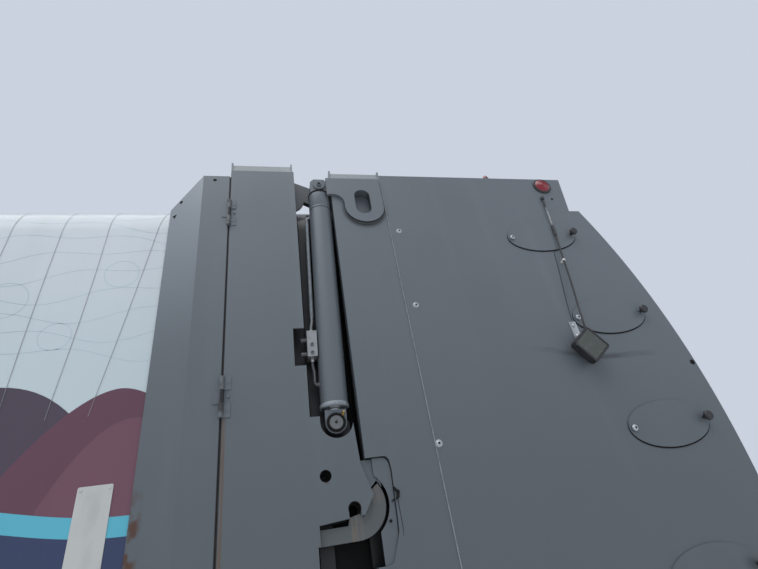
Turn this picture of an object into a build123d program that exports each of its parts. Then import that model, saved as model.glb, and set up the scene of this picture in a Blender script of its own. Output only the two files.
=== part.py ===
from build123d import *
import math
import os

# Tailgate of a rear-loading refuse truck, hung on the last stretch of its body.
# Millimetres. +X runs rearwards, +Y to the truck's right, +Z up.
# The origin is on the front face of the front hoop's lower bar, in the middle.
# Side pieces are drawn on the left, at negative y, and mirrored to the right.

# Widths, measured from the outside inwards
HALF_WIDTH = 1220.0
WALL_INSET = 118.0
LINER_INSET = 160.0
CORNER_RADIUS = 235.0

# Sheet and plate thicknesses
SHEET = 6.0
PLATE = 8.0
EAR_PLATE = 10.0
ARM_PLATE = 28.0
HOOK_PLATE = 15.0
FLOOR_SHEET = 10.0

# Gaps
HINGE_GAP = 2.0
SLIDING_GAP = 0.3
PIN_FIT = 0.05
EDGE_GAP = 1.0

# Body
BODY_LENGTH = 1499.0
FLOOR_TOP = 40.0
ROOF_TOP = 2230.0
HOOP_BAND = 50.0
SILL_SPACING = 860.0
SILL_WIDTH = 80.0
SILL_DEPTH = 190.0
CROSSBEAM_DEPTH = 90.0
CROSSBEAM_FLANGE = 45.0
CROSSBEAM_PITCH = 460.0
REAR_SILL_LENGTH = 70.0
HEADER_LENGTH = 120.0
HEADER_HEIGHT = 60.0
SEAL_THICKNESS = 11.0
SEAL_MARGIN = 8.0
SEAL_BAND = 34.0

# Rear posts of the body, with the window beside the valve block
POST_WIDTH = 315.0
POST_TOP = 2292.0
POST_WEB_SETBACK = 57.0
POST_CAP_RISE = 65.0
CAP_INSET = 6.0
CAP_LEAN = 8.0
CAP_TIP = 20.0
WINDOW_WIDTH = 45.0
WINDOW_LOW = 1190.0
WINDOW_HIGH = 1358.0

# Fairing doors ahead of the posts
FAIRING_STRIP = 126.0
FAIRING_RUN = 163.0
FAIRING_TOP = 2249.0
FAIRING_FRONT_TOP = 2110.0
FAIRING_BOTTOM = 20.0
FAIRING_SHEET = 5.0
FAIRING_SEAM = 5.0
FAIRING_WALL_GAP = 6.0
BUTT_RADIUS = 9.0
BUTT_PIN = 4.0
BUTT_LEAF = 30.0
BUTT_LEAF_SHEET = 3.0
BUTT_PLACES = [
    # low z, high z
    (1010.0, 1166.0),
    (1919.0, 2077.0),
]

# Lift linkage: tailgate hinge and the cylinder's two pins, x from the body's rear end
HINGE_BACK = -49.0
HINGE_Z = 2305.0
HINGE_BOSS = 50.0
HINGE_PIN = 25.0
TOP_PIN_BACK = 129.0
TOP_PIN_Z = 2210.0
TOP_PIN = 24.0
TOP_BOSS = 56.0
LOW_PIN_BACK = 99.0
LOW_PIN_Z = 957.0
LOW_PIN = 26.0
PIN_CAP = 30.0
PIN_CAP_RISE = 8.0
LOBE_BACK = -34.0
LOBE_Z = 2190.0
LOBE_RADIUS = 85.0

# Lift cylinder, measured from its top pin down its axis
CYLINDER_INSET = 48.0
BARREL_RADIUS = 55.0
BARREL_BORE = 45.0
BARREL_START = 150.0
GROOVE_START = 12.0
GROOVE_WIDTH = 6.0
GROOVE_DEPTH = 2.5
GLAND_RADIUS = 44.0
GLAND_LENGTH = 40.0
GLAND_DEPTH = 8.0
ROD_RADIUS = 28.0
ROD_REACH = 430.0
PISTON_LENGTH = 50.0
EYE_RADIUS = 41.0
EYE_BLOCK = 50.0
EYE_CLEARANCE = 13.4
EYE_WIDTH = 60.0
EAR_WIDTH = 64.0
EAR_HALF = 46.0
EAR_CHAMFER = 20.0

# Valve block, its fittings and the pipes on the barrel
BLOCK_DROP = 8.0
BLOCK_LENGTH = 117.0
BLOCK_WIDTH = 42.0
BLOCK_DEPTH = 60.0
FITTING_RADIUS = 9.0
FITTING_LENGTH = 24.0
FITTING_PLACES = [32.0, 96.0]
PORT_RADIUS = 11.0
PORT_RISE = 4.0
PORT_DROP = 54.0
PIPE_RADIUS = 6.0
PIPE_STANDOFF = 16.0
PIPE_BEND = 10.0
PIPE_JOG = 30.0
LOW_PORT_RISE = 60.0

# Cylinder bracket and latch hook on the post's lower half, x from the body's rear end
CHEEK = 16.0
CHEEK_TOP = 982.0
CHEEK_LOW = 619.0
CHEEK_OUTLINE = [
    # x, z down its rear edge
    (158.0, 977.0),
    (169.0, 798.0),
    (202.0, 690.0),
    (165.0, 632.0),
]
BRACKET_PLATE_TOP = 860.0
SADDLE_RADIUS = 62.0
BRACKET_HOLE_BACK = 41.0
BRACKET_HOLE_Z = 770.0
BRACKET_HOLE = 20.0
NOTCH_BACK = 131.0
NOTCH_Z = 656.0
NOTCH_RADIUS = 21.0
HOOK_BACK = 141.0
HOOK_Z = 663.0
HOOK_OUTER = 104.0
HOOK_INNER = 56.0
HOOK_TIP_ANGLE = 38.0
HOOK_THICKNESS = 40.0
HOOK_OFFSET = 20.0

# Tailgate outline, x from the body's rear end
TAIL_FRONT_BACK = 187.0
TAIL_POST_WIDTH = 276.0
TAIL_POST_TOP = 2250.0
TAIL_CAP_RISE = 63.0
TAIL_TOP = 2279.0
TAIL_CORNER_BACK = 1596.0
TAIL_STEP_BACK = 1562.0
TAIL_STEP_Z = 2023.5
CURVE_BACK = -1327.0
CURVE_Z = 875.0
CURVE_RADIUS = 3168.0
HOOD_BOTTOM = 1300.0
FRAME_LENGTH = 50.0
RECESS_TOP = 813.0
RECESS_LOW = 475.0
RECESS_OUTLINE = [
    # set back from the post's front edge, z
    (87.0, 813.0),
    (92.0, 761.0),
    (87.0, 569.0),
    (51.0, 475.0),
]
RECESS_CORNER = 22.0
PAN_LAP = 6.0
PAN_GAP = 10.0

# Thick plate on the tailgate post's top: lobe with a lifting slot, x from the body's rear end
HOOK_LOBE_BACK = 350.0
HOOK_LOBE_Z = 2036.0
HOOK_LOBE_RADIUS = 102.0
HOOK_LEFT_BACK = 163.0
HOOK_LEFT_Z = 2116.0
HOOK_TOP_DROP = 14.0
HOOK_NECK_RISE = 30.0
HOOK_NECK_RADIUS = 60.0
SLOT_BACK = 345.0
SLOT_Z = 2070.0
SLOT_WIDTH = 81.0
SLOT_HEIGHT = 164.0
SLOT_DEPTH = 50.0
SLOT_WALL = 5.0

# Hopper: the lip it is loaded over, and where the floor's straight slope starts
LIP_BACK = 1689.7
LIP_Z = -92.19
LIP_ANGLE = -28.0
HOPPER_RADIUS = 780.0
FLOOR_RUN = 22.6
SIDE_OVERHANG = 20.0
SILL_BAR = 70.0

# Packer
SLIDE_ANGLE = 125.0
SLIDE_STROKE = 900.0
PANEL_ANGLE = 105.0
PANEL_START = 75.0
PANEL_TOP_GAP = 107.95
PANEL_THICKNESS = 40.0
PANEL_SKIN = 12.0
PANEL_RIB_PITCH = 250.0
END_PLATE = 25.0
SHOE_SPACING = 600.0
SHOE_LENGTH = 150.0
SHOE_WIDTH = 90.0
SHOE_SIDE_GAP = 7.0
END_BOSS = 70.0
NOTCH_LENGTH = 125.0
NOTCH_MARGIN = 8.0
RAIL_WIDTH = 45.0
RAIL_HEIGHT = 30.0
RAIL_OVERRUN = 15.0
BLADE_CLOSED = 236.0
BLADE_OPEN = 332.0
BLADE_TUBE = 62.0
BLADE_WALL = 12.0
BLADE_FLOOR_GAP = 18.0
BLADE_HUB = 30.0
BLADE_HUB_HALF = 54.0
BLADE_BELLY = 8.0
BLADE_EDGE = 8.0
BLADE_EDGE_FRONT = 22.0
BLADE_EDGE_BACK = 12.0
BLADE_RIDGE = 240.0
BLADE_RIDGE_BACK = 88.0
BLADE_SHOULDER = 150.0
BLADE_SHOULDER_BACK = 104.0
BLADE_SIDE_GAP = 6.0
PIVOT_PIN = 32.0
LUG_REACH = 180.0
LUG_RADIUS = 45.0
LUG_PLATE = 20.0
LUG_GAP = 6.0
SWEEP_Y = 560.0
SWEEP_ANCHOR_DROP = 100.0
SWEEP_ANCHOR_FOOT = 68.0
SWEEP_BARREL = 55.0
SWEEP_BORE = 45.0
SWEEP_START = 80.0
SWEEP_END_GAP = 44.0
SWEEP_ROD = 26.0
SWEEP_PISTON_INSET = 266.0
SWEEP_EYE = 42.0

# Oval access covers of the side sheets
COVER_LENGTH = 412.0
COVER_HEIGHT = 195.0
COVER_LAP = 22.0
COVER_SHEET = 5.0
KNOB_RADIUS = 21.0
KNOB_CAP = 13.0
KNOB_ROUND = 4.0
STEM_RADIUS = 8.0
STEM_LENGTH = 22.0
COVER_BOLT = 10.0
COVER_BOLT_LENGTH = 8.0
FASTENER_INSET = 21.0
COVER_PLACES = [
    # distance in from the curved back, z, turn up towards the back in degrees
    (383.0, 1836.0, 3.5),
    (319.0, 1336.0, 2.5),
    (317.0, 802.0, 1.5),
    (368.0, 266.0, 2.0),
]

# Lamps, x from the body's rear end
MARKER_BACK = 1459.0
MARKER_Z = 2219.0
GROMMET_RADIUS = 56.0
GROMMET_RISE = 9.0
GROMMET_ROUND = 4.0
LENS_RADIUS = 45.0
LENS_RISE = 7.0
LENS_ROUND = 12.0
WORK_LAMP_BACK = 1264.0
WORK_LAMP_Z = 1162.0
WORK_LAMP_SIZE = 126.0
WORK_LAMP_CORNER = 14.0
WORK_LAMP_BEZEL = 9.0
WORK_LAMP_DEPTH = 34.0
WORK_LAMP_STANDOFF = 36.0
WORK_LAMP_TURN = 36.0
WORK_LENS_SINK = 3.0
FIN_COUNT = 6
FIN_SHEET = 3.0
FIN_DEPTH = 14.0
LAMP_STRAP = 36.0
LAMP_STRAP_SHEET = 4.0
STRAP_FOOT = 112.0
STRAP_FOOT_RISE = 92.0

# Lead from the lamp on the tailgate's side up to its hole in the side sheet
LEAD_RADIUS = 4.5
LEAD_HOOD = 9.0
LEAD_HOOD_LENGTH = 18.0
LEAD_GLAND = 8.0
LEAD_GLAND_RISE = 4.0
LEAD_TIE_Z = 1661.0
LEAD_TIE_WIDTH = 10.0
LEAD_TIE_BAND = 3.0
LEAD_BEND_SHARE = 0.45
LEAD_ROUTE = [
    # x from the body's rear end, z, stand-off from the side sheet
    (1419.0, 2108.0, 8.0),
    (1405.0, 1980.0, 11.0),
    (1390.0, 1850.0, 14.0),
    (1369.0, 1722.0, 19.0),
    (1350.0, 1600.0, 25.0),
    (1330.0, 1480.0, 31.0),
    (1307.0, 1372.0, 38.0),
]
LEAD_LAST_RUN = 60.0

# Places that follow from the sizes above
SIDE_Y = -HALF_WIDTH
WALL_Y = SIDE_Y + WALL_INSET
LINER_Y = SIDE_Y + LINER_INSET
CORNER_Y = WALL_Y + CORNER_RADIUS
CORNER_Z = ROOF_TOP - CORNER_RADIUS
FLOOR_LOW = FLOOR_TOP - FLOOR_SHEET
SILL_LOW = FLOOR_LOW - SILL_DEPTH
POST_FRONT = BODY_LENGTH - POST_WIDTH
EAR_Y = WALL_Y - EAR_PLATE
ARM_OUT = WALL_Y + HINGE_GAP
ARM_IN = ARM_OUT + ARM_PLATE
INNER_EAR_Y = ARM_IN + HINGE_GAP
INNER_EAR_END = INNER_EAR_Y + 2 * EAR_PLATE
CYLINDER_Y = SIDE_Y + CYLINDER_INSET
FRAME_FRONT = BODY_LENGTH + SEAL_THICKNESS
SHEET_Y = SIDE_Y + SHEET
HINGE_X = BODY_LENGTH + HINGE_BACK
TOP_PIN_X = BODY_LENGTH + TOP_PIN_BACK
LOW_PIN_X = BODY_LENGTH + LOW_PIN_BACK
LOBE_X = BODY_LENGTH + LOBE_BACK
BRACKET_HOLE_X = BODY_LENGTH + BRACKET_HOLE_BACK
NOTCH_X = BODY_LENGTH + NOTCH_BACK
HOOK_X = BODY_LENGTH + HOOK_BACK
TAIL_FRONT = BODY_LENGTH + TAIL_FRONT_BACK
TAIL_POST_BACK = TAIL_FRONT + TAIL_POST_WIDTH
TAIL_CORNER_X = BODY_LENGTH + TAIL_CORNER_BACK
TAIL_STEP_X = BODY_LENGTH + TAIL_STEP_BACK
CURVE_X = BODY_LENGTH + CURVE_BACK
HOOK_LOBE_X = BODY_LENGTH + HOOK_LOBE_BACK
HOOK_LEFT_X = BODY_LENGTH + HOOK_LEFT_BACK
SLOT_X = BODY_LENGTH + SLOT_BACK
MARKER_X = BODY_LENGTH + MARKER_BACK
WORK_LAMP_X = BODY_LENGTH + WORK_LAMP_BACK
WORK_LAMP_BACK_Y = SIDE_Y - WORK_LAMP_STANDOFF
LIP = (BODY_LENGTH + LIP_BACK, LIP_Z)
HOPPER_X = LIP[0] - HOPPER_RADIUS * math.cos(math.radians(LIP_ANGLE))
HOPPER_Z = LIP[1] - HOPPER_RADIUS * math.sin(math.radians(LIP_ANGLE))
SLOPE_RUN = HOPPER_X - FRAME_FRONT - FLOOR_RUN
SLOPE_RISE = HOPPER_Z - FLOOR_TOP
SLOPE_REACH = math.hypot(SLOPE_RUN, SLOPE_RISE)
SLOPE_ANGLE = 180 + math.degrees(math.atan2(SLOPE_RISE, SLOPE_RUN) + math.acos(HOPPER_RADIUS / SLOPE_REACH))
SLOPE = math.tan(math.radians(270 - SLOPE_ANGLE))


def polar(x, z, radius, angle):
    """Point at a radius and an angle in degrees round x, z."""
    turn = math.radians(angle)
    return (x + radius * math.cos(turn), z + radius * math.sin(turn))


def shifted(point, distance, angle):
    """Point moved by a distance along an angle."""
    return polar(point[0], point[1], distance, angle)


PIVOT = polar(HOPPER_X, HOPPER_Z, SLIDE_STROKE, SLIDE_ANGLE)
LIFT_ANGLE = math.degrees(math.atan2(LOW_PIN_Z - TOP_PIN_Z, LOW_PIN_X - TOP_PIN_X))
LIFT_LENGTH = math.hypot(LOW_PIN_X - TOP_PIN_X, LOW_PIN_Z - TOP_PIN_Z)
LEAD_END_ANGLE = WORK_LAMP_TURN + 45
LEAD_END_REACH = WORK_LAMP_SIZE / math.sqrt(2) + LEAD_GLAND_RISE
LEAD_END_Y = WORK_LAMP_BACK_Y - WORK_LAMP_DEPTH / 2
INNER_CHEEK = EAR_Y - HINGE_GAP - CHEEK
BUTT_X = POST_FRONT - FAIRING_SEAM / 2
BUTT_Y = SIDE_Y - BUTT_RADIUS - SLIDING_GAP
BARREL_END = LIFT_LENGTH - EYE_BLOCK - EYE_CLEARANCE - GLAND_LENGTH
BLOCK_START = TOP_PIN_Z - WINDOW_HIGH + BLOCK_DROP
PANEL_LENGTH = (ROOF_TOP - PANEL_TOP_GAP - PIVOT[1]) / math.sin(math.radians(PANEL_ANGLE))
SLIDE_HALF_WIDTH = -(LINER_Y + PLATE + RAIL_WIDTH + SHOE_SIDE_GAP)
BLADE_REACH = HOPPER_RADIUS - BLADE_FLOOR_GAP
BLADE_OUTLINE = [
    # along the blade, out from its line, on the curved front and the ridged back
    (BLADE_HUB, -BLADE_HUB_HALF),
    (BLADE_REACH / 2, -BLADE_BELLY),
    (BLADE_REACH - BLADE_EDGE, -BLADE_EDGE_FRONT),
    (BLADE_REACH, BLADE_EDGE_BACK),
    (BLADE_REACH - BLADE_RIDGE, BLADE_RIDGE_BACK),
    (BLADE_SHOULDER, BLADE_SHOULDER_BACK),
    (BLADE_HUB, BLADE_HUB_HALF),
]
BLADE_HALF_WIDTH = SLIDE_HALF_WIDTH - END_PLATE - BLADE_SIDE_GAP
SWEEP = BLADE_OPEN - BLADE_CLOSED
SWEEP_OFFSET = LUG_REACH * math.cos(math.radians(SWEEP / 2))
SWEEP_HALF_STROKE = LUG_REACH * math.sin(math.radians(SWEEP / 2))
SWEEP_ANCHOR = PANEL_LENGTH - SWEEP_ANCHOR_DROP
SWEEP_END = SWEEP_ANCHOR - SWEEP_HALF_STROKE - SWEEP_EYE - SWEEP_END_GAP
SWEEP_TOP = shifted(shifted(PIVOT, SWEEP_OFFSET, PANEL_ANGLE - 90), SWEEP_ANCHOR, PANEL_ANGLE)
SWEEP_DOWN = PANEL_ANGLE + 180
SWEEP_LENGTH = SWEEP_ANCHOR + SWEEP_HALF_STROKE
SWEEP_ROD_REACH = SWEEP_LENGTH - SWEEP_END + SWEEP_PISTON_INSET


def side_plate(face, y_low, y_high):
    """Outline in x and z, made solid between two y values."""
    placed = Pos(0, y_high, 0) * (Plane.XZ * face)
    return extrude(placed, amount=y_high - y_low, dir=(0, -1, 0))


def cross_plate(face, x_low, x_high):
    """Outline in y and z, made solid between two x values."""
    placed = Pos(x_low, 0, 0) * (Plane.YZ * face)
    return extrude(placed, amount=x_high - x_low, dir=(1, 0, 0))


def level_plate(face, z_low, z_high):
    """Outline in x and y, made solid between two heights."""
    return extrude(Pos(0, 0, z_low) * face, amount=z_high - z_low, dir=(0, 0, 1))


def block(x_low, x_high, y_low, y_high, z_low, z_high):
    """Box from its two ends along each axis."""
    middle = Pos((x_low + x_high) / 2, (y_low + y_high) / 2, (z_low + z_high) / 2)
    return middle * Box(x_high - x_low, y_high - y_low, z_high - z_low)


def disc(x, z, radius):
    return Pos(x, z) * Circle(radius)


def outline(*points):
    return make_face(Polyline(*points, close=True))


def strip(start, angle, near, far, half_width):
    """Straight bar's outline along an angle, between two distances from a point."""
    middle = shifted(start, (near + far) / 2, angle)
    return Pos(*middle) * Rot(0, 0, angle) * Rectangle(far - near, 2 * half_width)


def link(start, end, start_radius, end_radius):
    """Outline of a plate that wraps two bosses and tapers between them."""
    run = math.hypot(end[0] - start[0], end[1] - start[1])
    along = math.degrees(math.atan2(end[1] - start[1], end[0] - start[0]))
    lean = math.degrees(math.acos((start_radius - end_radius) / run))
    body = outline(shifted(start, start_radius, along + lean), shifted(end, end_radius, along + lean),
                   shifted(end, end_radius, along - lean), shifted(start, start_radius, along - lean))
    return body + disc(*start, start_radius) + disc(*end, end_radius)


def round_bar(start, angle, near, far, radius, y):
    """Round bar along an angle in the x-z plane, between two distances from a point."""
    x, z = shifted(start, near, angle)
    turn = math.radians(angle)
    plane = Plane(origin=(x, y, z), z_dir=(math.cos(turn), 0, math.sin(turn)))
    return extrude(plane * Circle(radius), amount=far - near)


def curve_x(z, inset=0.0):
    """Reach of the tailgate's curved back at a height."""
    return CURVE_X + math.sqrt((CURVE_RADIUS - inset) ** 2 - (z - CURVE_Z) ** 2)


def curve_arc(z_high, z_low, inset=0.0):
    """Arc of the tailgate's curved back, from a high point to a low one."""
    radius = CURVE_RADIUS - inset
    high = math.degrees(math.asin((z_high - CURVE_Z) / radius))
    low = math.degrees(math.asin((z_low - CURVE_Z) / radius))
    return CenterArc((CURVE_X, CURVE_Z), radius, high, low - high)


def cover_places():
    """Middle and turn of each oval cover, set in from the curved back."""
    return [(curve_x(z) - inset, z, turn) for inset, z, turn in COVER_PLACES]


def slope_x(z, radius):
    """Where the straight slope ahead of the hopper's round floor reaches a height."""
    x_end, z_end = polar(HOPPER_X, HOPPER_Z, radius, SLOPE_ANGLE)
    return x_end - (z - z_end) / SLOPE


def slope_z(x, radius):
    """Height of the straight slope ahead of the hopper's round floor."""
    x_end, z_end = polar(HOPPER_X, HOPPER_Z, radius, SLOPE_ANGLE)
    return z_end + (x_end - x) * SLOPE


def arch(half, top, radius, band, foot):
    """Upside-down U in y and z, with round top corners."""
    outer = Pos(0, (foot + top) / 2) * Rectangle(2 * half, top - foot)
    outer = fillet(outer.vertices().group_by(Axis.Y)[-1], radius)
    inner = Pos(0, (foot + top) / 2 - band) * Rectangle(2 * (half - band), top - foot)
    inner = fillet(inner.vertices().group_by(Axis.Y)[-1], radius - band)
    return outer - inner


def together(*shapes):
    """Separate solids as one node."""
    return Compound(children=[solid for shape in shapes for solid in shape.solids()])


def both_sides(*shapes):
    """The left pieces and their mirror images as one node."""
    return together(*shapes, *[mirror(shape, about=Plane.XZ) for shape in shapes])


# Body shell

def body_walls():
    """Side sheets that turn over a round corner towards the roof."""
    inner = CORNER_RADIUS - SHEET
    profile = make_face([
        Line((WALL_Y, FLOOR_TOP), (WALL_Y, CORNER_Z)),
        CenterArc((CORNER_Y, CORNER_Z), CORNER_RADIUS, 180, -90),
        Line((CORNER_Y, ROOF_TOP), (CORNER_Y, ROOF_TOP - SHEET)),
        CenterArc((CORNER_Y, CORNER_Z), inner, 90, 90),
        Line((WALL_Y + SHEET, CORNER_Z), (WALL_Y + SHEET, FLOOR_TOP)),
        Line((WALL_Y + SHEET, FLOOR_TOP), (WALL_Y, FLOOR_TOP)),
    ])
    return both_sides(cross_plate(profile, 0, BODY_LENGTH))


def body_roof():
    return block(0, BODY_LENGTH, CORNER_Y, -CORNER_Y, ROOF_TOP - SHEET, ROOF_TOP)


def body_floor():
    return block(0, BODY_LENGTH, WALL_Y, -WALL_Y, FLOOR_LOW, FLOOR_TOP)


def floor_frame():
    """Two long box sills and the channel crossbeams that butt against them from both sides."""
    back = BODY_LENGTH - REAR_SILL_LENGTH
    near = (SILL_SPACING - SILL_WIDTH) / 2
    far = near + SILL_WIDTH
    beams = []
    for low in (-far, near):
        room = Pos(low + SILL_WIDTH / 2, FLOOR_LOW - SILL_DEPTH / 2)
        tube = Rectangle(SILL_WIDTH, SILL_DEPTH) - Rectangle(SILL_WIDTH - 2 * PLATE, SILL_DEPTH - 2 * PLATE)
        beams.append(cross_plate(room * tube, PLATE, back))
    for step in range(1, int(back // CROSSBEAM_PITCH) + 1):
        x = step * CROSSBEAM_PITCH
        foot = FLOOR_LOW - CROSSBEAM_DEPTH
        for low, high in ((WALL_Y, -far), (-near, near), (far, -WALL_Y)):
            channel = block(x - PLATE, x, low, high, foot, FLOOR_LOW)
            channel += block(x, x + CROSSBEAM_FLANGE, low, high, foot, foot + PLATE)
            channel += block(x, x + CROSSBEAM_FLANGE, low, high, FLOOR_LOW - PLATE, FLOOR_LOW)
            beams.append(channel)
    return together(*beams)


def front_hoop():
    """Flange round the shell's front end, and the bar under the floor that holds the origin."""
    room = arch(-WALL_Y - SHEET, ROOF_TOP - SHEET, CORNER_RADIUS - SHEET, HOOP_BAND, FLOOR_TOP)
    bar = block(0, PLATE, WALL_Y, -WALL_Y, FLOOR_LOW - CROSSBEAM_DEPTH, FLOOR_LOW)
    return together(cross_plate(room, 0, PLATE), bar)


def rear_flange():
    room = arch(-WALL_Y - SHEET, ROOF_TOP - SHEET, CORNER_RADIUS - SHEET, HOOP_BAND, FLOOR_TOP)
    return cross_plate(room, BODY_LENGTH - PLATE, BODY_LENGTH)


def tail_seal():
    """Rubber strip on the rear flange that the tailgate closes on."""
    inset = SHEET + SEAL_MARGIN
    band = arch(-WALL_Y - inset, ROOF_TOP - inset, CORNER_RADIUS - inset, SEAL_BAND, FLOOR_TOP + SEAL_MARGIN)
    return cross_plate(band, BODY_LENGTH, FRAME_FRONT - SLIDING_GAP)


def rear_sill():
    """Box beam under the floor's rear edge, between the posts."""
    middle = Pos(BODY_LENGTH - REAR_SILL_LENGTH / 2, FLOOR_LOW - SILL_DEPTH / 2)
    tube = Rectangle(REAR_SILL_LENGTH, SILL_DEPTH) - Rectangle(REAR_SILL_LENGTH - 2 * PLATE, SILL_DEPTH - 2 * PLATE)
    return side_plate(middle * tube, WALL_Y, -WALL_Y)


def rear_header():
    """Beam over the roof whose end plates are the tailgate hinge's inner ears."""
    front = BODY_LENGTH - HEADER_LENGTH
    beam = block(front, BODY_LENGTH, INNER_EAR_END, -INNER_EAR_END, ROOF_TOP, ROOF_TOP + HEADER_HEIGHT)
    rise = math.sqrt(CORNER_RADIUS ** 2 - (INNER_EAR_END - CORNER_Y) ** 2)
    foot = CORNER_Z + rise + SLIDING_GAP
    plate = outline((HINGE_X - HINGE_BOSS, foot), (BODY_LENGTH, foot), (BODY_LENGTH, HINGE_Z),
                    (HINGE_X - HINGE_BOSS, HINGE_Z))
    plate += disc(HINGE_X, HINGE_Z, HINGE_BOSS)
    ear = side_plate(plate - disc(HINGE_X, HINGE_Z, HINGE_PIN + PIN_FIT), INNER_EAR_Y, INNER_EAR_END)
    return beam + ear + mirror(ear, about=Plane.XZ)


# Rear posts

def rear_posts():
    """Outer plate with the valve window, front plate and web; the hinge plate closes the box."""
    face = outline((POST_FRONT, SILL_LOW), (BODY_LENGTH, SILL_LOW), (BODY_LENGTH, POST_TOP),
                   (POST_FRONT, POST_TOP))
    window = Pos(BODY_LENGTH - WINDOW_WIDTH / 2, (WINDOW_LOW + WINDOW_HIGH) / 2)
    face -= window * Rectangle(WINDOW_WIDTH, WINDOW_HIGH - WINDOW_LOW)
    web = BODY_LENGTH - POST_WEB_SETBACK
    post = side_plate(face, SIDE_Y, SIDE_Y + PLATE)
    post += block(POST_FRONT, POST_FRONT + PLATE, SIDE_Y, EAR_Y, SILL_LOW, POST_TOP)
    post += block(web - PLATE, web, SIDE_Y + PLATE, EAR_Y, SILL_LOW, POST_TOP)
    return both_sides(post)


def hinge_plates():
    """Inner plates of the posts, with the outer hinge ears and their rearward lobes."""
    face = outline((POST_FRONT, SILL_LOW), (BODY_LENGTH, SILL_LOW), (BODY_LENGTH, POST_TOP),
                   (POST_FRONT, POST_TOP))
    face += link((HINGE_X, HINGE_Z), (LOBE_X, LOBE_Z), HINGE_BOSS, LOBE_RADIUS)
    face -= disc(HINGE_X, HINGE_Z, HINGE_PIN + PIN_FIT)
    return both_sides(side_plate(face, EAR_Y, WALL_Y))


def cap(x_low, x_high, z_low, rise, inner_y):
    """Folded cover over a post between two end gussets with raised tips."""
    top = z_low + rise - CAP_TIP
    gusset = outline((SIDE_Y, z_low), (SIDE_Y, z_low + rise), (inner_y, top), (inner_y, z_low))
    gusset = fillet(gusset.vertices().sort_by(Axis.Y)[-1], PLATE)
    cover = outline((SIDE_Y, z_low), (SIDE_Y + CAP_LEAN, top), (inner_y, top), (inner_y, top - PLATE),
                    (SIDE_Y + CAP_LEAN + PLATE, top - PLATE), (SIDE_Y + PLATE, z_low))
    shape = cross_plate(cover, x_low + PLATE, x_high - PLATE)
    for x in (x_low, x_high - PLATE):
        shape += cross_plate(gusset, x, x + PLATE)
    return shape


def post_caps():
    return both_sides(cap(POST_FRONT, BODY_LENGTH - CAP_INSET, POST_TOP, POST_CAP_RISE, EAR_Y))


# Lift cylinder's bracket and the latch hook

def lift_brackets():
    """Two cheeks and a back plate round the cylinder's lower pin; the outer cheek is a saddle."""
    rear_edge = [(BODY_LENGTH + back, z) for back, z in CHEEK_OUTLINE]
    cheek = outline((BODY_LENGTH, CHEEK_TOP), *rear_edge, (BODY_LENGTH, CHEEK_LOW))
    cheek -= disc(BRACKET_HOLE_X, BRACKET_HOLE_Z, BRACKET_HOLE)
    notch = Pos(NOTCH_X, NOTCH_Z - NOTCH_RADIUS) * Rectangle(2 * NOTCH_RADIUS, 2 * NOTCH_RADIUS)
    cheek -= notch + disc(NOTCH_X, NOTCH_Z, NOTCH_RADIUS)
    saddle = Pos(LOW_PIN_X, LOW_PIN_Z + SADDLE_RADIUS) * Rectangle(2 * SADDLE_RADIUS, 2 * SADDLE_RADIUS)
    saddle += disc(LOW_PIN_X, LOW_PIN_Z, SADDLE_RADIUS)
    bracket = side_plate(cheek - saddle, SIDE_Y, SIDE_Y + CHEEK)
    bracket += side_plate(cheek, INNER_CHEEK, INNER_CHEEK + CHEEK)
    bracket += block(BODY_LENGTH, BODY_LENGTH + PLATE, SIDE_Y, WALL_Y, HOOK_Z - HOOK_OUTER, BRACKET_PLATE_TOP)
    return both_sides(bracket)


def latch_hooks():
    """Thick J-shaped hooks between the cheeks."""
    left = BODY_LENGTH + PLATE
    ring = disc(HOOK_X, HOOK_Z, HOOK_OUTER) - disc(HOOK_X, HOOK_Z, HOOK_INNER)
    reach = 3 * HOOK_OUTER
    keep = outline((HOOK_X, HOOK_Z), (HOOK_X, HOOK_Z - reach), (HOOK_X + reach, HOOK_Z - reach),
                   polar(HOOK_X, HOOK_Z, reach, HOOK_TIP_ANGLE))
    shank = outline((left, HOOK_Z - HOOK_OUTER), (HOOK_X, HOOK_Z - HOOK_OUTER),
                    (HOOK_X, HOOK_Z - HOOK_INNER), (left, HOOK_Z - HOOK_INNER))
    hook = (ring & keep) + shank
    y_low = SIDE_Y + HOOK_OFFSET
    return both_sides(side_plate(hook, y_low, y_low + HOOK_THICKNESS))


# Fairing doors

def fairing(side):
    """Bent cover door with its halves of the butt hinges; side is -1 on the left."""
    seam = POST_FRONT - FAIRING_SEAM
    fold = seam - FAIRING_STRIP
    front = fold - FAIRING_RUN
    front_y = WALL_Y - FAIRING_WALL_GAP
    bend = FAIRING_SHEET * math.tan(math.atan2(front_y - SIDE_Y, FAIRING_RUN) / 2)
    inner_y = SIDE_Y + FAIRING_SHEET
    plan = outline((seam, SIDE_Y), (fold, SIDE_Y), (front, front_y - FAIRING_SHEET), (front, front_y),
                   (fold + bend, inner_y), (seam, inner_y))
    door = level_plate(plan, FAIRING_BOTTOM, FAIRING_TOP)
    wedge = outline((fold, FAIRING_TOP), (front - PLATE, FAIRING_TOP), (front - PLATE, FAIRING_FRONT_TOP),
                    (front, FAIRING_FRONT_TOP))
    door -= side_plate(wedge, SIDE_Y - PLATE, WALL_Y)
    for low, high in BUTT_PLACES:
        third = (high - low) / 3
        door += knuckle(low + third + SLIDING_GAP, high - third - SLIDING_GAP, seam - BUTT_LEAF)
    return door if side < 0 else mirror(door, about=Plane.XZ)


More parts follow.
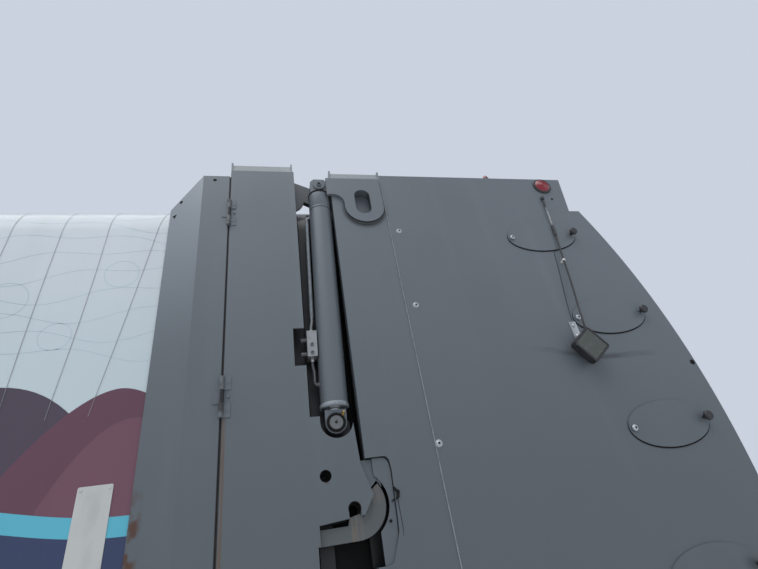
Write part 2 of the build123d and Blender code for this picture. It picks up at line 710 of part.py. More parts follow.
def knuckle(z_low, z_high, leaf_end):
    """Hinge barrel round the door's pin, with the leaf that carries it."""
    barrel = level_plate(Pos(BUTT_X, BUTT_Y) * Circle(BUTT_RADIUS), z_low, z_high)
    leaf = block(min(leaf_end, BUTT_X), max(leaf_end, BUTT_X), SIDE_Y - BUTT_LEAF_SHEET, SIDE_Y, z_low, z_high)
    return barrel + leaf - level_plate(Pos(BUTT_X, BUTT_Y) * Circle(BUTT_PIN + PIN_FIT), z_low, z_high)


def fairing_hinges():
    """The posts' halves of the butt hinges, with the pins."""
    pieces = []
    for low, high in BUTT_PLACES:
        third = (high - low) / 3
        half = knuckle(low, low + third, POST_FRONT + BUTT_LEAF)
        half += knuckle(high - third, high, POST_FRONT + BUTT_LEAF)
        half += level_plate(Pos(BUTT_X, BUTT_Y) * Circle(BUTT_PIN), low, high)
        pieces.append(half)
    return both_sides(*pieces)


# Tailgate shell

def tail_side(front_edge, inset, radius):
    """Side outline: front edge, top corner, step, long curve, round hopper and slope."""
    lip_z = LIP[1]
    round_x = HOPPER_X + math.sqrt(radius ** 2 - (lip_z - HOPPER_Z) ** 2)
    lip_turn = math.degrees(math.asin((lip_z - HOPPER_Z) / radius))
    step_z = TAIL_STEP_Z - inset
    foot = (front_edge[0][0], slope_z(front_edge[0][0], radius))
    return make_face([
        Polyline(polar(HOPPER_X, HOPPER_Z, radius, SLOPE_ANGLE), foot, *front_edge,
                 (TAIL_CORNER_X - inset, TAIL_TOP - inset), (TAIL_STEP_X - inset, step_z),
                 (curve_x(step_z, inset), step_z)),
        curve_arc(step_z, lip_z, inset),
        Line((curve_x(lip_z, inset), lip_z), (round_x, lip_z)),
        CenterArc((HOPPER_X, HOPPER_Z), radius, lip_turn, SLOPE_ANGLE - 360 - lip_turn),
    ])


def side_sheets():
    """Outer sheets behind the posts' weld line, with the oval service holes."""
    face = tail_side([(TAIL_POST_BACK, TAIL_TOP)], 0.0, HOPPER_RADIUS + SIDE_OVERHANG)
    for x, z, turn in cover_places():
        oval = Ellipse(COVER_LENGTH / 2 - COVER_LAP, COVER_HEIGHT / 2 - COVER_LAP)
        face -= Pos(x, z) * Rot(0, 0, turn) * oval
    return both_sides(side_plate(face, SIDE_Y, SHEET_Y))


def tail_liners():
    """Inner side walls of the tailgate, between its roof, back and hopper floor."""
    inset = SHEET + EDGE_GAP
    rise = math.sqrt((CORNER_RADIUS - SHEET) ** 2 - (LINER_Y - CORNER_Y) ** 2)
    shoulder = CORNER_Z + rise
    front_edge = [(FRAME_FRONT + FRAME_LENGTH, shoulder), (TAIL_FRONT, shoulder), (TAIL_FRONT, TAIL_TOP - inset)]
    face = tail_side(front_edge, inset, HOPPER_RADIUS - SLIDING_GAP)
    return both_sides(side_plate(face, LINER_Y, LINER_Y + PLATE))


def tail_throat():
    """Round-cornered roof sheet from the front hoop to the posts, and the step up to the main roof."""
    back = TAIL_FRONT - PLATE
    sheet = arch(-WALL_Y, ROOF_TOP, CORNER_RADIUS, SHEET, FLOOR_TOP)
    keep = Pos(0, ROOF_TOP) * Rectangle(-2 * LINER_Y, 2 * CORNER_RADIUS)
    throat = cross_plate(sheet & keep, FRAME_FRONT + FRAME_LENGTH, back)
    gate = Pos(0, TAIL_TOP - SHEET - CORNER_RADIUS) * Rectangle(-2 * LINER_Y, 2 * CORNER_RADIUS)
    hole = Pos(0, ROOF_TOP / 2) * Rectangle(-2 * WALL_Y, ROOF_TOP)
    hole = fillet(hole.vertices().group_by(Axis.Y)[-1], CORNER_RADIUS)
    step = cross_plate(gate - hole, back, TAIL_FRONT)
    return throat + step


def tail_frame():
    """Hoop at the tailgate's front, of the body's own section, that closes on the seal."""
    face = arch(-WALL_Y, ROOF_TOP, CORNER_RADIUS, HOOP_BAND, FLOOR_TOP + SLIDING_GAP)
    return cross_plate(face, FRAME_FRONT, FRAME_FRONT + FRAME_LENGTH)


def slot_outline(margin):
    """Upright lifting slot, widened by a margin."""
    width = SLOT_WIDTH + 2 * margin
    return Pos(SLOT_X, SLOT_Z) * Rot(0, 0, 90) * SlotOverall(SLOT_HEIGHT + 2 * margin, width)


def tail_posts():
    """Box posts with a recess and a set-back pan round the latch hook, and the lifting slot's pocket."""
    low = HOPPER_RADIUS + SIDE_OVERHANG
    face = outline((TAIL_FRONT, slope_z(TAIL_FRONT, low)), (TAIL_POST_BACK, slope_z(TAIL_POST_BACK, low)),
                   (TAIL_POST_BACK, TAIL_POST_TOP), (TAIL_FRONT, TAIL_POST_TOP))
    rear_edge = [(TAIL_FRONT + setback, z) for setback, z in RECESS_OUTLINE]
    recess = outline((TAIL_FRONT - PLATE, RECESS_TOP), *rear_edge, (TAIL_FRONT - PLATE, RECESS_LOW))
    recess = fillet(recess.vertices().sort_by(Axis.X)[2:], RECESS_CORNER)
    pan_y = SIDE_Y + PLATE
    post = side_plate(face - recess - slot_outline(0), SIDE_Y, pan_y)
    post += side_plate(face, ARM_OUT - PLATE, ARM_OUT)
    front = block(TAIL_FRONT, TAIL_FRONT + PLATE, SIDE_Y, ARM_OUT, slope_z(TAIL_FRONT, low), TAIL_POST_TOP)
    front -= block(TAIL_FRONT, TAIL_FRONT + PLATE, SIDE_Y, ARM_OUT - PLATE, RECESS_LOW, RECESS_TOP)
    cheek_end = BODY_LENGTH + max(back for back, z in CHEEK_OUTLINE) + PAN_GAP
    behind = Pos(cheek_end + HOOK_OUTER, HOOK_Z) * Rectangle(2 * HOOK_OUTER, 4 * HOOK_OUTER)
    pan = (offset(recess, PAN_LAP) & behind) - disc(HOOK_X, HOOK_Z, HOOK_OUTER + PAN_GAP)
    post += side_plate(pan, pan_y, pan_y + SHEET)
    floor_y = SIDE_Y - HOOK_PLATE + SLOT_DEPTH
    post += side_plate(slot_outline(SLOT_WALL) - slot_outline(0), pan_y, floor_y)
    post += side_plate(slot_outline(SLOT_WALL), floor_y, floor_y + SLOT_WALL)
    return both_sides(post + front)


def tail_caps():
    return both_sides(cap(TAIL_FRONT, TAIL_POST_BACK, TAIL_POST_TOP, TAIL_CAP_RISE, ARM_OUT))


def hook_plates():
    """Thick plates on the posts' tops: S-curved lower edge, round lobe and upright slot."""
    lobe = disc(HOOK_LOBE_X, HOOK_LOBE_Z, HOOK_LOBE_RADIUS)
    right = HOOK_LOBE_X + HOOK_LOBE_RADIUS
    left = HOOK_LOBE_X - HOOK_LOBE_RADIUS
    neck_z = HOOK_LOBE_Z + HOOK_NECK_RISE
    top = TAIL_POST_TOP - HOOK_TOP_DROP
    body = make_face([
        Line((HOOK_LEFT_X, top), (right, top)),
        Line((right, top), (right, HOOK_LOBE_Z)),
        Line((right, HOOK_LOBE_Z), (left, HOOK_LOBE_Z)),
        Line((left, HOOK_LOBE_Z), (left, neck_z)),
        RadiusArc((left, neck_z), (HOOK_LEFT_X, HOOK_LEFT_Z), -HOOK_NECK_RADIUS),
        Line((HOOK_LEFT_X, HOOK_LEFT_Z), (HOOK_LEFT_X, top)),
    ])
    return both_sides(side_plate(body + lobe - slot_outline(0), SIDE_Y - HOOK_PLATE, SIDE_Y))


def hinge_arms():
    """Arms from the hinge pin past the cylinder's top pin to the inside of the posts, with both pins."""
    hinge = (HINGE_X, HINGE_Z)
    top = (TOP_PIN_X, TOP_PIN_Z)
    back = TAIL_POST_BACK - PLATE
    face = link(hinge, top, HINGE_BOSS, TOP_BOSS)
    face += outline((TOP_PIN_X, TOP_PIN_Z + TOP_BOSS), (TAIL_FRONT, TAIL_POST_TOP), (back, TAIL_POST_TOP),
                    (back, HOOK_LOBE_Z), (TAIL_FRONT + HOOK_LOBE_RADIUS, HOOK_LOBE_Z),
                    (TOP_PIN_X, TOP_PIN_Z - TOP_BOSS))
    arm = side_plate(face, ARM_OUT, ARM_IN)
    arm += side_plate(disc(*hinge, HINGE_PIN), EAR_Y, INNER_EAR_END)
    ear_out = CYLINDER_Y - EAR_WIDTH / 2
    arm += side_plate(disc(*top, TOP_PIN), ear_out - PIN_CAP_RISE, ARM_OUT)
    arm += side_plate(disc(*top, PIN_CAP), ear_out - PIN_CAP_RISE, ear_out - SLIDING_GAP)
    return both_sides(arm)


def tail_roof():
    """Top sheet between the side sheets, notched beside the posts for the hinge arms."""
    back = TAIL_CORNER_X - SHEET - HINGE_GAP
    front = TAIL_FRONT - PLATE
    plan = outline((front, ARM_IN), (TAIL_POST_BACK, ARM_IN), (TAIL_POST_BACK, SHEET_Y), (back, SHEET_Y),
                   (back, -SHEET_Y), (TAIL_POST_BACK, -SHEET_Y), (TAIL_POST_BACK, -ARM_IN), (front, -ARM_IN))
    return level_plate(plan, TAIL_TOP - SHEET, TAIL_TOP)


def rear_panel():
    """Hood over the loading opening and the legs down both its sides, one bent sheet."""
    step_in = TAIL_STEP_Z - SHEET
    lip_z = LIP[1]
    hood = make_face([
        Line((TAIL_CORNER_X, TAIL_TOP), (TAIL_STEP_X, TAIL_STEP_Z)),
        Line((TAIL_STEP_X, TAIL_STEP_Z), (curve_x(TAIL_STEP_Z), TAIL_STEP_Z)),
        curve_arc(TAIL_STEP_Z, HOOD_BOTTOM),
        Line((curve_x(HOOD_BOTTOM), HOOD_BOTTOM), (curve_x(HOOD_BOTTOM, SHEET), HOOD_BOTTOM)),
        curve_arc(step_in, HOOD_BOTTOM, SHEET),
        Line((curve_x(step_in, SHEET), step_in), (TAIL_STEP_X - SHEET, step_in)),
        Line((TAIL_STEP_X - SHEET, step_in), (TAIL_CORNER_X - SHEET, TAIL_TOP)),
        Line((TAIL_CORNER_X - SHEET, TAIL_TOP), (TAIL_CORNER_X, TAIL_TOP)),
    ])
    leg = make_face([
        curve_arc(HOOD_BOTTOM, lip_z),
        Line((curve_x(lip_z), lip_z), (curve_x(lip_z, SHEET), lip_z)),
        curve_arc(HOOD_BOTTOM, lip_z, SHEET),
        Line((curve_x(HOOD_BOTTOM, SHEET), HOOD_BOTTOM), (curve_x(HOOD_BOTTOM), HOOD_BOTTOM)),
    ])
    leg = side_plate(leg, SHEET_Y, LINER_Y)
    return side_plate(hood, SHEET_Y, -SHEET_Y) + leg + mirror(leg, about=Plane.XZ)


def hopper_floor():
    """Round floor under the blade's sweep, with the slope up to the body's floor."""
    outer = HOPPER_RADIUS + FLOOR_SHEET
    turn = SLOPE_ANGLE - 360 - LIP_ANGLE
    face = make_face([
        Line((FRAME_FRONT, FLOOR_TOP), (slope_x(FLOOR_TOP, HOPPER_RADIUS), FLOOR_TOP)),
        Line((slope_x(FLOOR_TOP, HOPPER_RADIUS), FLOOR_TOP), polar(HOPPER_X, HOPPER_Z, HOPPER_RADIUS, SLOPE_ANGLE)),
        CenterArc((HOPPER_X, HOPPER_Z), HOPPER_RADIUS, LIP_ANGLE, turn),
        Line(LIP, polar(HOPPER_X, HOPPER_Z, outer, LIP_ANGLE)),
        CenterArc((HOPPER_X, HOPPER_Z), outer, LIP_ANGLE, turn),
        Line(polar(HOPPER_X, HOPPER_Z, outer, SLOPE_ANGLE), (slope_x(FLOOR_LOW, outer), FLOOR_LOW)),
        Line((slope_x(FLOOR_LOW, outer), FLOOR_LOW), (FRAME_FRONT, FLOOR_LOW)),
        Line((FRAME_FRONT, FLOOR_LOW), (FRAME_FRONT, FLOOR_TOP)),
    ])
    floor = side_plate(face, SHEET_Y, -SHEET_Y)
    notch = block(FRAME_FRONT, TAIL_POST_BACK, SHEET_Y, ARM_OUT, -HALF_WIDTH, FLOOR_TOP)
    return floor - notch - mirror(notch, about=Plane.XZ)


def hopper_sill():
    """Square tube along the lip that the load is tipped over."""
    edge = polar(HOPPER_X, HOPPER_Z, HOPPER_RADIUS + FLOOR_SHEET, LIP_ANGLE)[0] + SLIDING_GAP
    middle = Pos(edge + SILL_BAR / 2, LIP[1] - SILL_BAR / 2)
    tube = middle * fillet(Rectangle(SILL_BAR, SILL_BAR).vertices(), PLATE)
    room = middle * Rectangle(SILL_BAR - 2 * PLATE, SILL_BAR - 2 * PLATE)
    return side_plate(tube - room, SHEET_Y, -SHEET_Y)


def slide_rails():
    """Two bars on each liner that guide the slide's shoes."""
    start = (HOPPER_X, HOPPER_Z)
    near = -SHOE_LENGTH / 2 - RAIL_OVERRUN
    far = SLIDE_STROKE + SHOE_SPACING + SHOE_LENGTH / 2 + RAIL_OVERRUN
    inner = SHOE_WIDTH / 2 + SLIDING_GAP
    bars = []
    for turn in (-90, 90):
        middle = shifted(start, inner + RAIL_HEIGHT / 2, SLIDE_ANGLE + turn)
        bar = strip(middle, SLIDE_ANGLE, near, far, RAIL_HEIGHT / 2)
        bars.append(side_plate(bar, LINER_Y + PLATE, LINER_Y + PLATE + RAIL_WIDTH))
    return both_sides(*bars)


# Packer

def packer_slide():
    """Carrier panel with end plates, shoes, a top rail and the sweep cylinders' anchors."""
    half = SLIDE_HALF_WIDTH
    rib_depth = PANEL_THICKNESS - PANEL_SKIN
    skin_line = shifted(PIVOT, rib_depth / 2, PANEL_ANGLE + 90)
    slide = side_plate(strip(skin_line, PANEL_ANGLE, PANEL_START, PANEL_LENGTH, PANEL_SKIN / 2), -half, half)
    edge = strip(PIVOT, PANEL_ANGLE, PANEL_START, PANEL_START + PANEL_SKIN, PANEL_THICKNESS / 2)
    slide += side_plate(edge, -half, half)
    rail_start = PANEL_LENGTH - 2 * PANEL_THICKNESS
    rib_line = shifted(PIVOT, PANEL_SKIN / 2, PANEL_ANGLE - 90)
    rib = strip(rib_line, PANEL_ANGLE, PANEL_START, rail_start, rib_depth / 2)
    for step in range(int(half // PANEL_RIB_PITCH)):
        y = (step + 0.5) * PANEL_RIB_PITCH
        slide += side_plate(rib, y - PLATE / 2, y + PLATE / 2) + side_plate(rib, -y - PLATE / 2, PLATE / 2 - y)
    top = strip(PIVOT, PANEL_ANGLE, rail_start, PANEL_LENGTH, PANEL_THICKNESS)
    room = strip(PIVOT, PANEL_ANGLE, rail_start + PLATE, PANEL_LENGTH - PLATE, PANEL_THICKNESS - PLATE)
    slide += side_plate(top, -half, half)
    slide -= side_plate(room, END_PLATE - half, half - END_PLATE)
    shoe_top = shifted(PIVOT, SHOE_SPACING, SLIDE_ANGLE)
    panel_top = shifted(PIVOT, PANEL_LENGTH - 2 * PANEL_THICKNESS, PANEL_ANGLE)
    end_face = link(PIVOT, shoe_top, END_BOSS, END_BOSS) + link(PIVOT, panel_top, END_BOSS, PANEL_THICKNESS)
    end_face += outline(PIVOT, shoe_top, panel_top)
    end_plate = side_plate(end_face - disc(*PIVOT, PIVOT_PIN + PIN_FIT), -half, -half + END_PLATE)
    shoe_y = LINER_Y + PLATE + SHOE_SIDE_GAP
    for place in (PIVOT, shoe_top):
        shoe = strip(place, SLIDE_ANGLE, -SHOE_LENGTH / 2, SHOE_LENGTH / 2, SHOE_WIDTH / 2)
        end_plate += side_plate(shoe - disc(*PIVOT, PIVOT_PIN + PIN_FIT), shoe_y, -half)
    slide += end_plate + mirror(end_plate, about=Plane.XZ)
    foot = shifted(SWEEP_TOP, SWEEP_OFFSET, PANEL_ANGLE + 90)
    notch = strip(PIVOT, PANEL_ANGLE, 0, NOTCH_LENGTH, PANEL_THICKNESS)
    half_notch = EYE_WIDTH / 2 + LUG_GAP + LUG_PLATE + NOTCH_MARGIN
    for y in (-SWEEP_Y, SWEEP_Y):
        slide -= side_plate(notch, y - half_notch, y + half_notch)
        for sign in (-1, 1):
            near = y + sign * (EYE_WIDTH / 2)
            far = near + sign * LUG_PLATE
            lug = link(SWEEP_TOP, foot, LUG_RADIUS, SWEEP_ANCHOR_FOOT)
            slide += side_plate(lug, min(near, far), max(near, far))
    return slide


def sweep_blade():
    """Hollow curved blade on its pivot tube, with the cylinders' lugs."""
    half = BLADE_HALF_WIDTH
    front, ridge = BLADE_OUTLINE[:3], BLADE_OUTLINE[2:]
    profile = make_face([ThreePointArc(*front), Polyline(*ridge, BLADE_OUTLINE[0])])
    turn = Pos(*PIVOT) * Rot(0, 0, BLADE_CLOSED)
    solid = side_plate(turn * profile, -half, half)
    room = side_plate(turn * offset(profile, -BLADE_WALL), -half + BLADE_WALL, half - BLADE_WALL)
    blade = solid - room + side_plate(disc(*PIVOT, BLADE_TUBE), -half, half)
    lug_pin = shifted(PIVOT, LUG_REACH, PANEL_ANGLE - 90 - SWEEP / 2)
    for y in (-SWEEP_Y, SWEEP_Y):
        for sign in (-1, 1):
            near = y + sign * (EYE_WIDTH / 2 + LUG_GAP)
            far = near + sign * LUG_PLATE
            blade += side_plate(link(PIVOT, lug_pin, BLADE_TUBE, LUG_RADIUS), min(near, far), max(near, far))
    return blade


def blade_pins():
    """Stub pins on the tube's ends, which turn in the slide's end plates."""
    return both_sides(side_plate(disc(*PIVOT, PIVOT_PIN), LINER_Y + PLATE + SHOE_SIDE_GAP, -BLADE_HALF_WIDTH))


def sweep_cylinders():
    """Barrels of the two sweep cylinders, pinned in the slide's anchors."""
    barrels = []
    for y in (-SWEEP_Y, SWEEP_Y):
        barrel = round_bar(SWEEP_TOP, SWEEP_DOWN, SWEEP_START, SWEEP_END, SWEEP_BARREL, y)
        barrel -= round_bar(SWEEP_TOP, SWEEP_DOWN, SWEEP_START + 4 * PLATE, SWEEP_END - 4 * PLATE, SWEEP_BORE, y)
        barrel -= round_bar(SWEEP_TOP, SWEEP_DOWN, SWEEP_END - 5 * PLATE, SWEEP_END, SWEEP_ROD + PIN_FIT, y)
        eye = disc(*SWEEP_TOP, SWEEP_EYE) + strip(SWEEP_TOP, SWEEP_DOWN, 0, SWEEP_START, SWEEP_EYE)
        barrel += side_plate(eye, y - EYE_WIDTH / 2, y + EYE_WIDTH / 2)
        barrels.append(barrel)
    return together(*barrels)


def sweep_rods():
    """Rods with their pistons, lower eyes and pins."""
    rods = []
    low = shifted(SWEEP_TOP, SWEEP_LENGTH, SWEEP_DOWN)
    start = SWEEP_LENGTH - SWEEP_ROD_REACH
    for y in (-SWEEP_Y, SWEEP_Y):
        rod = round_bar(SWEEP_TOP, SWEEP_DOWN, start, SWEEP_LENGTH, SWEEP_ROD, y)
        rod += round_bar(SWEEP_TOP, SWEEP_DOWN, start, start + PISTON_LENGTH, SWEEP_BORE - PIN_FIT, y)
        rod += side_plate(disc(*low, SWEEP_EYE), y - EYE_WIDTH / 2, y + EYE_WIDTH / 2)
        reach = EYE_WIDTH / 2 + LUG_GAP - SLIDING_GAP
        rod += side_plate(disc(*low, SWEEP_ROD), y - reach, y + reach)
        rods.append(rod)
    return together(*rods)


# Lift cylinders

def placed(shape, side):
    """Left piece as it is, or mirrored to the right."""
    return shape if side < 0 else mirror(shape, about=Plane.XZ)


def beside(along, out):
    """Point beside the lift cylinder's axis, towards the front of the truck."""
    on_axis = shifted((TOP_PIN_X, TOP_PIN_Z), along, LIFT_ANGLE)
    return shifted(on_axis, out, LIFT_ANGLE - 90)


def piped(radius, bend, *points):
    """Round pipe along straight runs and bends in the cylinder's middle plane."""
    path = FilletPolyline(*[(x, CYLINDER_Y, z) for x, z in points], radius=bend)
    return sweep(Plane(origin=path @ 0, z_dir=path % 0) * Circle(radius), path=path)


def lift_barrel(side):
    """Barrel with its chamfered top ear, a groove below the head, two ports and the recessed gland."""
    top = (TOP_PIN_X, TOP_PIN_Z)
    end = BARREL_END + GLAND_LENGTH
    barrel = round_bar(top, LIFT_ANGLE, BARREL_START, end, BARREL_RADIUS, CYLINDER_Y)
    groove = BARREL_START + GROOVE_START
    ring = round_bar(top, LIFT_ANGLE, groove, groove + GROOVE_WIDTH, 2 * BARREL_RADIUS, CYLINDER_Y)
    barrel -= ring - round_bar(top, LIFT_ANGLE, groove, groove + GROOVE_WIDTH, BARREL_RADIUS - GROOVE_DEPTH, CYLINDER_Y)
    for along in (BARREL_START + PORT_DROP, BARREL_END - LOW_PORT_RISE):
        barrel += round_bar(beside(along, 0), LIFT_ANGLE - 90, 0, BARREL_RADIUS + PORT_RISE, PORT_RADIUS, CYLINDER_Y)
    barrel -= round_bar(top, LIFT_ANGLE, BARREL_START + 3 * PLATE, BARREL_END, BARREL_BORE, CYLINDER_Y)
    barrel -= round_bar(top, LIFT_ANGLE, BARREL_END - PLATE, end, ROD_RADIUS + PIN_FIT, CYLINDER_Y)
    barrel -= round_bar(top, LIFT_ANGLE, end - GLAND_DEPTH, end, GLAND_RADIUS, CYLINDER_Y)
    ear = strip(top, LIFT_ANGLE, -EAR_HALF, BARREL_START, EAR_HALF)
    ear = chamfer(ear.vertices().sort_by(Axis.Y)[-2:], EAR_CHAMFER)
    ear -= disc(*top, TOP_PIN + PIN_FIT)
    barrel += side_plate(ear, CYLINDER_Y - EAR_WIDTH / 2, CYLINDER_Y + EAR_WIDTH / 2)
    return placed(barrel, side)


def lift_rod(side):
    """Rod with its piston, lower eye block and the pin that sits in the bracket."""
    top = (TOP_PIN_X, TOP_PIN_Z)
    low = (LOW_PIN_X, LOW_PIN_Z)
    start = LIFT_LENGTH - ROD_REACH
    rod = round_bar(top, LIFT_ANGLE, start, LIFT_LENGTH, ROD_RADIUS, CYLINDER_Y)
    rod += round_bar(top, LIFT_ANGLE, start, start + PISTON_LENGTH, BARREL_BORE - PIN_FIT, CYLINDER_Y)
    eye = disc(*low, EYE_RADIUS) + strip(low, LIFT_ANGLE + 180, 0, EYE_BLOCK, EYE_RADIUS)
    rod += side_plate(eye, CYLINDER_Y - EYE_WIDTH / 2, CYLINDER_Y + EYE_WIDTH / 2)
    rod += side_plate(disc(*low, LOW_PIN), SIDE_Y + CHEEK + SLIDING_GAP, INNER_CHEEK - SLIDING_GAP)
    return placed(rod, side)


def lift_valve(side):
    """Lock valve block on the barrel with its two fittings, and the bent steel pipes to the barrel's ports."""
    near = BARREL_RADIUS + SLIDING_GAP
    middle = near + BLOCK_WIDTH / 2
    face = strip(beside(0, middle), LIFT_ANGLE, BLOCK_START, BLOCK_START + BLOCK_LENGTH, BLOCK_WIDTH / 2)
    valve = side_plate(face, CYLINDER_Y - BLOCK_DEPTH / 2, CYLINDER_Y + BLOCK_DEPTH / 2)
    for along in FITTING_PLACES:
        start = beside(BLOCK_START + along, near + BLOCK_WIDTH)
        valve += round_bar(start, LIFT_ANGLE - 90, 0, FITTING_LENGTH, FITTING_RADIUS, CYLINDER_Y)
    port = BARREL_RADIUS + PORT_RISE
    run = BARREL_RADIUS + PIPE_STANDOFF
    high = BARREL_START + PORT_DROP
    low = BARREL_END - LOW_PORT_RISE
    foot = BLOCK_START + BLOCK_LENGTH
    valve += piped(PIPE_RADIUS, PIPE_BEND, beside(high, port), beside(high, run), beside(BLOCK_START - 2 * PIPE_JOG, run),
                   beside(BLOCK_START - PIPE_JOG, middle), beside(BLOCK_START, middle))
    valve += piped(PIPE_RADIUS, PIPE_BEND, beside(foot, middle), beside(foot + PIPE_JOG, middle),
                   beside(foot + 2 * PIPE_JOG, run), beside(low, run), beside(low, port))
    return placed(valve, side)


# Covers, lamps and leads

def access_covers():
    """Oval plates over the service holes, each on a bolt and a hand knob."""
    plates = []
    face_y = SIDE_Y - COVER_SHEET
    reach = COVER_LENGTH / 2 - FASTENER_INSET
    for x, z, turn in cover_places():
        oval = Pos(x, z) * Rot(0, 0, turn) * Ellipse(COVER_LENGTH / 2, COVER_HEIGHT / 2)
        bolt = disc(*shifted((x, z), -reach, turn), COVER_BOLT)
        plates.append(side_plate(oval, face_y, SIDE_Y) + side_plate(bolt, face_y - COVER_BOLT_LENGTH, face_y))
    return both_sides(*plates)


def cover_knobs():
    """Hand knobs: a round cap on a thinner stem."""
    knobs = []
    face_y = SIDE_Y - COVER_SHEET
    low = face_y - STEM_LENGTH
    reach = COVER_LENGTH / 2 - FASTENER_INSET
    for x, z, turn in cover_places():
        foot = shifted((x, z), reach, turn)
        top = side_plate(disc(*foot, KNOB_RADIUS), low - KNOB_CAP, low)
        top = chamfer(top.edges().group_by(Axis.Y)[0], KNOB_ROUND)
        knobs.append(top + side_plate(disc(*foot, STEM_RADIUS), low, face_y))
    return both_sides(*knobs)


def marker_lamps():
    """Rubber grommet rings of the round clearance lamps at the top rear corners."""
    ring = side_plate(disc(MARKER_X, MARKER_Z, GROMMET_RADIUS), SIDE_Y - GROMMET_RISE, SIDE_Y)
    ring = chamfer(ring.edges().group_by(Axis.Y)[0], GROMMET_ROUND)
    return both_sides(ring - side_plate(disc(MARKER_X, MARKER_Z, LENS_RADIUS), SIDE_Y - GROMMET_RISE, SIDE_Y))


def marker_lenses():
    """Domed lenses that fill the grommets."""
    front = SIDE_Y - GROMMET_RISE - LENS_RISE
    lens = side_plate(disc(MARKER_X, MARKER_Z, LENS_RADIUS - SLIDING_GAP), front, SIDE_Y)
    return both_sides(chamfer(lens.edges().group_by(Axis.Y)[0], LENS_RISE, LENS_ROUND))


def work_lamps():
    """Square work lamps: bezel, set-back lens, finned back and a gland for the lead."""
    back = WORK_LAMP_BACK_Y
    front = back - WORK_LAMP_DEPTH
    place = Pos(WORK_LAMP_X, WORK_LAMP_Z) * Rot(0, 0, WORK_LAMP_TURN)
    square = Rectangle(WORK_LAMP_SIZE, WORK_LAMP_SIZE)
    square = place * fillet(square.vertices(), WORK_LAMP_CORNER)
    inner = WORK_LAMP_SIZE - 2 * WORK_LAMP_BEZEL
    lamp = side_plate(square, front, back)
    lamp -= side_plate(place * Rectangle(inner, inner), front, front + WORK_LENS_SINK)
    pitch = (inner - FIN_SHEET) / (FIN_COUNT - 1)
    for step in range(FIN_COUNT):
        off = step * pitch - (inner - FIN_SHEET) / 2
        lamp += side_plate(place * Pos(off, 0) * Rectangle(FIN_SHEET, inner), back, back + FIN_DEPTH)
    middle = (WORK_LAMP_X, WORK_LAMP_Z)
    lamp += round_bar(middle, LEAD_END_ANGLE, WORK_LAMP_SIZE / 2, LEAD_END_REACH, LEAD_GLAND, LEAD_END_Y)
    return both_sides(lamp)


def lamp_brackets():
    """Strap brackets of the work lamps, with a bolted foot on the side sheet."""
    foot_z = WORK_LAMP_Z + STRAP_FOOT_RISE
    low = WORK_LAMP_Z - LAMP_STRAP / 2
    near = WORK_LAMP_BACK_Y + FIN_DEPTH
    strap = block(WORK_LAMP_X - LAMP_STRAP / 2, WORK_LAMP_X + LAMP_STRAP / 2, SIDE_Y - LAMP_STRAP_SHEET, SIDE_Y,
                  low, foot_z + STRAP_FOOT / 2)
    strap += block(WORK_LAMP_X - LAMP_STRAP / 2, WORK_LAMP_X + LAMP_STRAP / 2, near, SIDE_Y, low,
                   low + LAMP_STRAP_SHEET)
    strap += block(WORK_LAMP_X - LAMP_STRAP / 2, WORK_LAMP_X + LAMP_STRAP / 2, near, near + LAMP_STRAP_SHEET, low,
                   WORK_LAMP_Z + LAMP_STRAP / 2)
    return both_sides(strap)


def lead_points():
    """Corners of the lamp lead's straight runs, from its hood down to the lamp's gland."""
    points = [(BODY_LENGTH + back, SIDE_Y - off, z) for back, z, off in LEAD_ROUTE]
    middle = (WORK_LAMP_X, WORK_LAMP_Z)
    for reach in (LEAD_END_REACH + LEAD_LAST_RUN, LEAD_END_REACH):
        x, z = shifted(middle, reach, LEAD_END_ANGLE)
        points.append((x, LEAD_END_Y, z))
    return [Vector(*point) for point in points]


def lead_bends(points):
    """Bend radius at each inner corner, from the shorter run beside it."""
    radii = []
    for before, corner, after in zip(points, points[1:], points[2:]):
        run = min((corner - before).length, (after - corner).length)
        turn = math.radians((corner - before).get_angle(after - corner))
        radii.append(LEAD_BEND_SHARE * run / math.tan(turn / 2))
    return radii


def lead_plane(start, end, share):
    """Plane square to one of the lead's runs, at a share of its length."""
    return Plane(origin=start + (end - start) * share, z_dir=end - start)


def lamp_leads():
    """The work lamps' cables, held by their hood, a tie and the lamp's gland."""
    points = lead_points()
    radii = lead_bends(points)
    print("lead bend radii", [round(radius) for radius in radii])
    path = FilletPolyline(*points, radius=radii)
    return both_sides(sweep(lead_plane(points[0], points[1], 0) * Circle(LEAD_RADIUS), path=path))


def lead_holders():
    """Hood over the lead's hole in the side sheet, and the tie that stands off the sheet."""
    points = lead_points()
    hood_plane = lead_plane(points[0], points[1], 0)
    hood = extrude(hood_plane * Circle(LEAD_HOOD), amount=-LEAD_HOOD_LENGTH)
    hood -= block(0, 2 * points[0].X, SIDE_Y, 0, 0, 2 * points[0].Z)
    start, end = [run for run in zip(points, points[1:]) if run[1].Z < LEAD_TIE_Z][0]
    share = (start.Z - LEAD_TIE_Z) / (start.Z - end.Z)
    tie_plane = lead_plane(start, end, share)
    room = LEAD_RADIUS + SLIDING_GAP
    band = extrude(tie_plane * (Circle(room + LEAD_TIE_BAND) - Circle(room)), amount=LEAD_TIE_WIDTH / 2, both=True)
    middle = tie_plane.origin
    half = LEAD_TIE_WIDTH / 2
    stalk = block(middle.X - half, middle.X + half, middle.Y + room + LEAD_TIE_BAND / 2, SIDE_Y,
                  middle.Z - half, middle.Z + half)
    return both_sides(hood, band + stalk)


